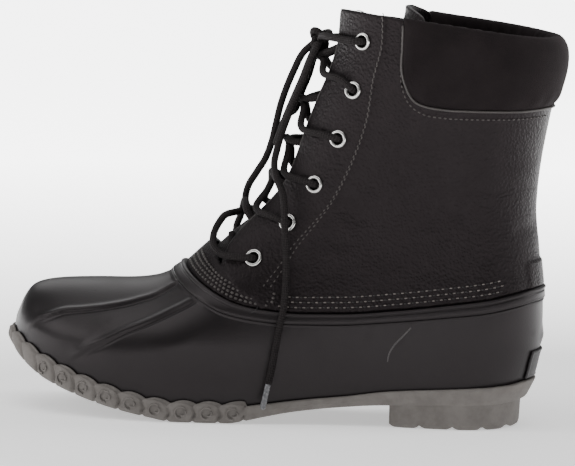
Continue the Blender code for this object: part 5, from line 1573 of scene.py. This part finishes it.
def makeUpper(c):
    half = evenPlaces(0.5, c["cell"], (0.0, throatAt, rearAt, cuffAt, 1.0))
    half = np.unique(np.concatenate([half, [throatAt + 0.0045]]))
    ring = ringOf(half)
    count = len(ring)
    start = 0.00015 / spanHeight(ring, 0.0, 1.0)
    low = np.linspace(0.012, throatFloor, 11)
    low = np.concatenate([low, np.linspace(throatFloor, 1.0, c["rowsLow"])[1:]])
    high = np.linspace(1.0, 2.0, c["rowsHigh"])[1:]
    v = np.vstack([start] + [np.full(count, rise) for rise in np.concatenate([low, high])])
    s = np.tile(ring, (len(v), 1))
    size = np.abs(s)
    point, _ = formPoint(s, v)
    # The eyestay lies on the vamp and the quarter: its front and rear edges are steps
    seamPlace, seamRise = np.array(stayStitches["line"])[::-1].T
    rear = np.interp(v, seamRise, seamPlace) + c["stayBehindSeam"]
    raised = smoothStep((size - throatAt + 0.0005) / 0.004) * smoothStep((rear - size) / 0.0045)
    lobe = smoothStep((v - np.interp(size, lobeAt, lobeRise)) / 0.018)
    out = stayStep * raised * lobe
    strip = smoothStep((size - c["stripAt"]) / 0.004) * smoothStep((c["stripTop"] - v) / 0.012)
    out += c["stripHigh"] * strip
    for side, rows, depth, width in creases:
        reach, share = nearLine(point, onForm([(side * a, b) for a, b in rows], 0.0015))
        out -= depth * bell(reach, width) * fadeEnds(share, 0.3)
    # Soft unevenness of worn leather over the quarters
    x, z = point[..., 0], point[..., 2]
    sway = np.sin(x * 95.0 + 1.3 * np.sin(z * 60.0)) * np.sin(z * 88.0 + 0.6)
    out += c["sway"] * sway * smoothStep((size - rearAt) / 0.05) * smoothStep((v - 0.10) / 0.1)
    out -= c["tuckIn"] * smoothStep((c["tuckTall"] - v) / c["tuckTall"])
    middle = 0.5 * (size + np.roll(size, -1, axis=1))[:-1]
    rise = 0.5 * (v[:-1] + v[1:])
    overVamp = (middle < throatAt) & (rise > throatFloor)
    underCuff = (middle > cuffAt) & (rise > 1.0)
    beside = np.roll(point, -1, axis=1)
    centre = 0.25 * (point[:-1] + point[1:] + beside[:-1] + beside[1:])
    hole = np.zeros(middle.shape, dtype=bool)
    for spot in holeCentres:
        hole |= np.linalg.norm(centre - spot, axis=-1) < c["holeClear"]
    keep = ~overVamp & ~underCuff & ~hole
    piece = wallPiece("leatherUpper", s, v, out, -leatherWall, keep, grainLeather, ring=True)
    return settle(piece, "black_leather", "upper")


makeUpper(upperSettings)

liningSettings = {"cell": 0.0030, "rows": 60, "wall": 0.0008, "low": 0.16, "high": 1.90, "ripple": 0.0003}


def makeLining(c):
    # Cloth inside the quarters, from the shell's flange up to the collar
    ring = roundBack(evenPlaces(0.5, c["cell"], (throatAt + 0.010, 1.0)))
    v = np.repeat(np.linspace(c["low"], c["high"], c["rows"])[:, None], len(ring), axis=1)
    s = np.tile(ring, (c["rows"], 1))
    collar = (np.abs(s) > cuffAt - 0.005) & (v > 0.98)
    ripple = c["ripple"] * np.sin(s * 90.0) * np.sin(v * 14.0)
    outer = ripple - (leatherWall + gap)
    keep = ~(collar[:-1, :-1] | collar[1:, 1:])
    piece = wallPiece("quarterLining", s, v, outer, outer - c["wall"], keep, liningCloth)
    return settle(piece, "dark_fabric")


makeLining(liningSettings)


print("stage: collar")
cuffSettings = {"cell": 0.0028, "fill": 0.75, "pucker": 0.0004, "pleatDeep": 0.0014, "pleatPitch": 0.0075,
                "endRound": 0.006, "sectionHigh": 0.045, "sectionWide": 0.006, "sectionSteps": 46.0}


def makeCuff(c):
    # Padded collar: one plump closed section swept round the sides and back
    shareGap = gap / (float(xAt(0.0)) - float(xAt(cuffAlong))) * (1.0 - cuffAt)
    ring = roundBack(evenPlaces(1.5, c["cell"], (cuffAt + shareGap, 1.0)))
    count = len(ring)
    tall = spanHeight(ring, 1.0, 2.0)
    foot = 1.0 + gap / tall
    high, wide = c["sectionHigh"], c["sectionWide"]
    rise, out = cuffRows["rise"] * high, cuffRows["out"] * wide
    around = np.sum(np.hypot(np.diff(rise), np.diff(out)))
    section = through(np.stack([rise, out, out * 0.0], axis=-1), around / c["sectionSteps"])
    run = runOf(formPoint(ring, 1.5)[0])
    endRound = smoothStep(np.minimum(run, run[-1] - run) / c["endRound"])
    pleats = np.sin(run / c["pleatPitch"] * 2.0 * math.pi + 1.5 * np.sin(run * 90.0))
    puckers = np.sin(run * 420.0 + 2.0 * np.sin(run * 60.0))
    rings = []
    for rise, out, _ in section:
        rise, out = rise / high, out / wide
        v = foot + (rise - 1.0) * (2.0 - foot)
        lift = out * (cuffBulge if out > 0.0 else cuffDepth)
        pleat = c["pleatDeep"] * pleats * (out < -0.2)  # inside only
        pucker = c["pucker"] * puckers * bell((rise - 1.12) * high, 0.004)  # along the seam
        lift = lift * (0.35 + 0.65 * endRound) if out > 0.0 else lift * (0.8 + 0.2 * endRound)
        rings.append(offsetPoint(ring, v, np.full(count, lift) + pleat + pucker))
    size = len(rings)
    points = np.concatenate(rings)
    faces = loft(rings, False, True)
    faces.append(tuple(k * count for k in range(size)))
    faces.append(tuple(k * count + count - 1 for k in range(size)))
    piece = settle(addPiece("paddedCuff", points, faces, nubuck), "dark_nubuck", "cuff")


makeCuff(cuffSettings)

pipingSettings = {"radius": 0.0007, "out": 0.0012, "rows": (
    (0.618, 1.93), (0.616, 1.60), (0.618, 1.18), (0.628, 1.05), (0.655, 1.0))}


def pipingHalf(c, side):
    front = [(side * a, b, c["out"]) for a, b in c["rows"]]
    back = [(side * a, 1.0, c["out"]) for a in np.linspace(0.69, 1.0, 14)]
    return front + back


# Lighter than the upper's leather: a painted highlight for the cuff's piping and the eyestays' cut edges
edgeLeatherPaintedHighlight = makeThread("edgeLeatherPaintedHighlight", tone(0.018, 0.015, 0.014), tone(0.050, 0.043, 0.040))


def makePiping(c):
    # The piping's lighter tone is a painted highlight along the cuff's edge
    line = offLine(pipingHalf(c, -1.0) + pipingHalf(c, 1.0)[-2::-1], 0.0020)
    return settle(tubePiece("cuffPiping", line, c["radius"], edgeLeatherPaintedHighlight, 8), "black_leather")


makePiping(pipingSettings)


print("stage: tongue, insole, label")
tongueSettings = {"columns": 41, "rows": 92, "foldDeep": 0.0007, "foldTurns": 21.0, "cornerFrom": 1.80,
                  "cornerNarrow": 0.62}


def makeTongue(c):
    turns = np.linspace(-1.0, 1.0, c["columns"])
    frontSeam = float(zAt(seamLevel(cuffAlong + 0.05)))
    frontRim = float(rimZ(rimFrontX))
    sink, half, depth, sweep = (fromRows(tongueRows, "rise", k) for k in ("sink", "half", "depth", "sweep"))
    outer, inner = [], []
    for rise in np.linspace(tongueRows["rise"][0], tongueRows["rise"][-1], c["rows"]):
        low, high = min(rise, 1.0), max(rise - 1.0, 0.0)
        z = frontRim + (frontSeam - frontRim) * low + (bootHeight - frontSeam) * high
        x = float(crestAtHeight(z))
        ray = np.array([x - fanX, z - fanZ])
        ray = ray / np.linalg.norm(ray)
        share, lean = halfShares(np.array(x), np.array(z), np.array(1.0))
        wide = min(float(half(rise)), float(share) - tongueClear) * ballWidth
        deep = float(depth(rise)) * ballWidth
        fold = c["foldDeep"] * math.sin(rise * c["foldTurns"]) * (0.4 + 0.6 * np.abs(turns))
        for target, wall in ((outer, 0.0), (inner, tongueWall)):
            corner = max(0.0, (rise - c["cornerFrom"]) / (tongueRows["rise"][-1] - c["cornerFrom"]))
            turn = turns * float(sweep(rise)) * (1.0 - c["cornerNarrow"] * corner ** 3)
            down = float(sink(rise)) * ballWidth + wall + (deep - wall) * (1.0 - np.cos(turn)) + fold
            y = float(lean) * ballWidth + (wide - wall) * np.sin(turn)
            target.append(np.stack([x + ray[0] * down, y, z + ray[1] * down], axis=-1))
    outer, inner = np.array(outer), np.array(inner)
    keep = np.ones((len(outer) - 1, c["columns"] - 1), dtype=bool)
    points, faces = walled(outer, inner, keep, False)
    return settle(addPiece("leatherTongue", points, faces, grainLeather), "black_leather", "tongue")


makeTongue(tongueSettings)

insoleSettings = {"cell": 0.004, "edge": 0.0008, "dish": 0.0012, "dishFrom": -0.06, "dishLong": 0.05}


def makeInsole(c):
    half = evenPlaces(-1.0, c["cell"], (0.0, 1.0))
    ring = ringOf(half)
    count = len(ring)
    tall = spanHeight(ring, -1.0, 0.0)
    inset = -(shellWall + gap) * np.ones(count)
    low = offsetPoint(ring, np.full(count, -1.0), inset)
    low[:, 2] += insoleLift
    high = offsetPoint(ring, -1.0 + insoleThickness / tall, inset - gap)
    soft = offsetPoint(ring, -1.0 + insoleThickness / tall, inset - gap - c["edge"])
    rings = [low, blend(low, high, 0.8), blend(high, soft, 0.6) + [0.0, 0.0, c["edge"] * 0.4]]
    tip, total = len(half) - 1, 2 * len(half) - 2
    mates = np.array([(tip - (i - tip)) % total for i in range(count)])
    for share in (0.15, 0.35, 0.6, 0.85):
        inner = blend(rings[2], rings[2][mates], share * 0.5)
        inner[:, 2] += c["edge"] * 0.4
        inner[:, 2] -= c["dish"] * share * smoothStep((inner[:, 0] - c["dishFrom"]) / c["dishLong"])
        rings.append(inner)
    points = np.concatenate(rings)
    faces = loft(rings, True) + deckFaces(len(half), 0) + deckFaces(len(half), (len(rings) - 1) * count)
    return settle(addPiece("clothInsole", points, faces, liningCloth), "dark_fabric", "insole")


makeInsole(insoleSettings)

labelSettings = {"low": -0.905, "high": -0.635, "side": 0.9862, "rows": 24, "wall": 0.0010,
                 "frame": 0.0005, "frameFrom": 0.0008, "frameFall": 0.0010}


def makeLabel(c):
    # A blank patch on the back seam with a raised frame
    half = np.linspace(c["side"], 1.0, 15)
    ring = roundBack(half)
    v = np.repeat(np.linspace(c["low"], c["high"], c["rows"])[:, None], len(ring), axis=1)
    s = np.tile(ring, (c["rows"], 1))
    point, _ = formPoint(s, v)
    across = np.abs(point[..., 1] - point[0, len(half) - 1, 1])
    halfWide = across[:, :1]
    tall = (v - c["low"]) / (c["high"] - c["low"]) * spanHeight(ring, c["low"], c["high"])
    edge = np.minimum(np.minimum(tall, tall[-1] - tall), halfWide - across)
    inside = smoothStep((edge - c["frameFrom"]) / c["frameFall"])
    out = gap + c["wall"] + c["frame"] * (1.0 - inside) * smoothStep(edge / 0.0004 + 0.3)
    keep = np.ones((len(s) - 1, len(ring) - 1), dtype=bool)
    return settle(wallPiece("heelLabel", s, v, out, gap, keep, labelRubber), "label_rubber", "heel_label")


makeLabel(labelSettings)


print("stage: stitches")
stitchSizes = {"Length": 0.0020, "Width": 0.0008, "Height": 0.0008}
toeStitchSizes = {"Length": 0.0023, "Width": 0.0017, "Height": 0.0020}
cuffStitchSizes = {"Length": 0.0019, "Width": 0.0010, "Height": 0.0010}
rimStitches = {"pitch": 0.0047, "rows": (0.0036, 0.0067, 0.0098), "from": 0.275, "to": 0.905}
toeStitches = {"pitch": 0.0030, "rows": (0.0030, 0.0056, 0.0082, 0.0108), "from": 0.004, "to": 0.262}
cuffStitches = {"pitch": 0.0031, "line": (
    (0.603, 1.93), (0.601, 1.60), (0.602, 1.18), (0.614, 1.02), (0.645, 0.965))}


def alongRow(line, pitch, shift=0.0):
    # Middles and directions at even steps of a line
    run = runOf(line)
    at = np.arange(pitch * (0.5 + shift), run[-1], pitch)
    ahead = readAt(line, run, at + 0.0004) - readAt(line, run, at - 0.0004)
    return readAt(line, run, at), unit(ahead)


def rowOnForm(rows, lift, pitch, shift=0.0):
    place, rise = np.array(rows, dtype=float).T
    knots = offsetPoint(place, rise, lift)
    spots, aims = alongRow(through(knots, 0.0010), pitch, shift)
    nearest = np.argmin(np.linalg.norm(spots[:, None, :] - knots[None], axis=-1), axis=1)
    return spots, aims, formPoint(place, rise)[1][nearest]


edgeSettings = {"radius": 0.00045, "inside": 0.0012, "from": 0.30, "to": 1.98}


def makeFlapEdges(c):
    # The cut edge of each eyestay, as a thin tube in a lighter leather tone: a painted highlight along the
    # edge
    parts = []
    for side in (-1.0, 1.0):
        place = side * (throatAt + c["inside"])
        rows = [(place, rise, stayStep * 0.45) for rise in np.linspace(c["from"], c["to"], 40)]
        parts.append(tubePiece("flapEdge", offLine(rows, 0.0020), c["radius"], edgeLeatherPaintedHighlight, 6))
    return settle(joinPieces("flapEdges", parts), "black_leather")


makeFlapEdges(edgeSettings)


def makeStitches(name, parts, sizes, look):
    spots, aims, outs = (np.concatenate([part[k] for part in parts]) for k in range(3))
    return settle(repeatPiece(name, spots, aims, outs, sizes, stitchShape, look), "black_cord")


def aboveRim(side, start, end, height, count=40):
    places = np.linspace(start, end, count)
    tall = spanHeight(side * places, 0.0, 1.0)
    return list(zip(side * places, height / tall))


def makeSeams():
    rim, rimShadedDashes, toe, stay, cuff = [], [], [], [], []
    for side in (-1.0, 1.0):
        for i, height in enumerate(rimStitches["rows"]):
            row = aboveRim(side, rimStitches["from"], rimStitches["to"], height)
            # Each rim stitch is a pale dash, a painted highlight, with a dark dash between as the stitch's
            # shaded side
            rim.append(rowOnForm(row, 0.0002, rimStitches["pitch"], 0.3 * i))
            rimShadedDashes.append(rowOnForm(row, 0.0001, rimStitches["pitch"], 0.3 * i + 0.5))
        for i, height in enumerate(toeStitches["rows"]):
            row = aboveRim(side, toeStitches["from"], toeStitches["to"], height, 30)
            toe.append(rowOnForm(row, 0.0001, toeStitches["pitch"], 0.5 * (i % 2)))
        for shift in (0.0, 0.010):
            rows = [(side * (a + shift), b) for a, b in stayStitches["line"]]
            stay.append(rowOnForm(rows, stayStep + 0.0002, stayStitches["pitch"], shift * 40.0))
        front = [(side * a, b) for a, b in cuffStitches["line"]]
        back = [(side * a, 0.957) for a in np.linspace(0.69, 0.99, 16)]
        cuff.append(rowOnForm(front + back, 0.0003, cuffStitches["pitch"]))
    makeStitches("rimSeams", rim, stitchSizes, threadPaintedHighlight)
    makeStitches("rimSeamsDark", rimShadedDashes, stitchSizes, darkThread)
    makeStitches("toeSeams", toe, toeStitchSizes, dullThread)
    makeStitches("staySeams", stay, stitchSizes, dullThread)
    makeStitches("cuffSeam", cuff, cuffStitchSizes, dullThread)


makeSeams()

threadSettings = {"radius": 0.00028, "step": 0.0006}
threadEnds = (((-0.255, 2.00, 0.0006), (-0.258, 2.03, 0.0010), (-0.262, 2.055, 0.0030)),
              ((-0.215, 2.00, 0.0012), (-0.212, 2.02, 0.0020), (-0.205, 2.035, 0.0040)),
              ((-0.231, 0.010, 0.0012), (-0.229, -0.012, 0.0028), (-0.224, -0.034, 0.0026)))


def makeThreadEnds():
    parts = []
    for i, rows in enumerate(threadEnds):
        line = offLine(rows, threadSettings["step"])
        parts.append(tubePiece("threadEnd%d" % i, line, threadSettings["radius"], darkThread, 6))
    return settle(joinPieces("threadEnds", parts), "black_cord")


makeThreadEnds()


print("stage: floor and light")
# The floor's glow is painted light; near the boot it falls to a small share, a painted shadow
floorSettings = {"half": 7.0, "tone": tone(0.90, 0.90, 0.90), "paintedFloorLight": 5.5, "near": 0.30, "far": 1.5,
                 "paintedShadowShare": 0.11}
roomGlow = 0.24
lightSettings = (
    ("topSoft", (-0.35, -0.35, 1.70), (-0.10, 0.0, 0.10), 1.8, 1.4, 15.0),
    ("backSoft", (-0.25, 1.30, 1.15), (-0.15, 0.0, 0.10), 1.8, 0.8, 8.0),
    ("toeSoft", (-1.50, -0.55, 0.95), (-0.16, 0.0, 0.08), 1.0, 0.9, 8.5),
    ("heelSoft", (1.25, 0.40, 0.75), (0.04, 0.0, 0.10), 0.5, 1.0, 7.0),
)


def makeFloor(c):
    # A flat pale floor that fills the frame and glows as painted light; its glow is dimmer near the boot, a
    # painted shadow that brightens away from it
    look = Look("paleFloor")
    grain = look.noise(30.0, 2.0)
    away = look.node("ShaderNodeVectorMath", {"operation": "LENGTH"}, {0: look.place()}, "Value")
    share = tone(c["paintedShadowShare"], c["paintedShadowShare"], c["paintedShadowShare"])
    # Painted shadow: the glow is cut to a small share under the boot and rises to full far from it
    paintedFloorLight = look.mix(look.fit(away, c["near"], c["far"], 0.0, 1.0), share, tone(1.0, 1.0, 1.0))
    look.finish({"Base Color": look.mix(grain, c["tone"], tone(0.92, 0.92, 0.92)), "Roughness": 0.9,
                "Specular IOR Level": 0.1, "Emission Color": paintedFloorLight, "Emission Strength": c["paintedFloorLight"]})
    half = c["half"]
    mesh = bpy.data.meshes.new("paleFloor")
    corners = [(x * half, y * half, 0.0) for x, y in ((-1, -1), (1, -1), (1, 1), (-1, 1))]
    mesh.from_pydata(corners, [], [(0, 1, 2, 3)])
    mesh.materials.append(look.material)
    floor = linked("paleFloor", mesh)


def makeLights(rows):
    for name, place, towards, wide, high, power in rows:
        data = bpy.data.lights.new(name, "AREA")
        data.shape = "RECTANGLE"
        data.size, data.size_y, data.energy = wide, high, power
        thing = linked(name, data)
        thing.location = place
        thing.rotation_euler = (Vector(towards) - Vector(place)).to_track_quat("-Z", "Y").to_euler()
    world = bpy.data.worlds.new("softRoom")
    world.use_nodes = True
    backdrop = world.node_tree.nodes["Background"]
    backdrop.inputs["Color"].default_value = (1.0, 1.0, 1.0, 1.0)
    backdrop.inputs["Strength"].default_value = roomGlow
    bpy.context.scene.world = world


makeFloor(floorSettings)
makeLights(lightSettings)
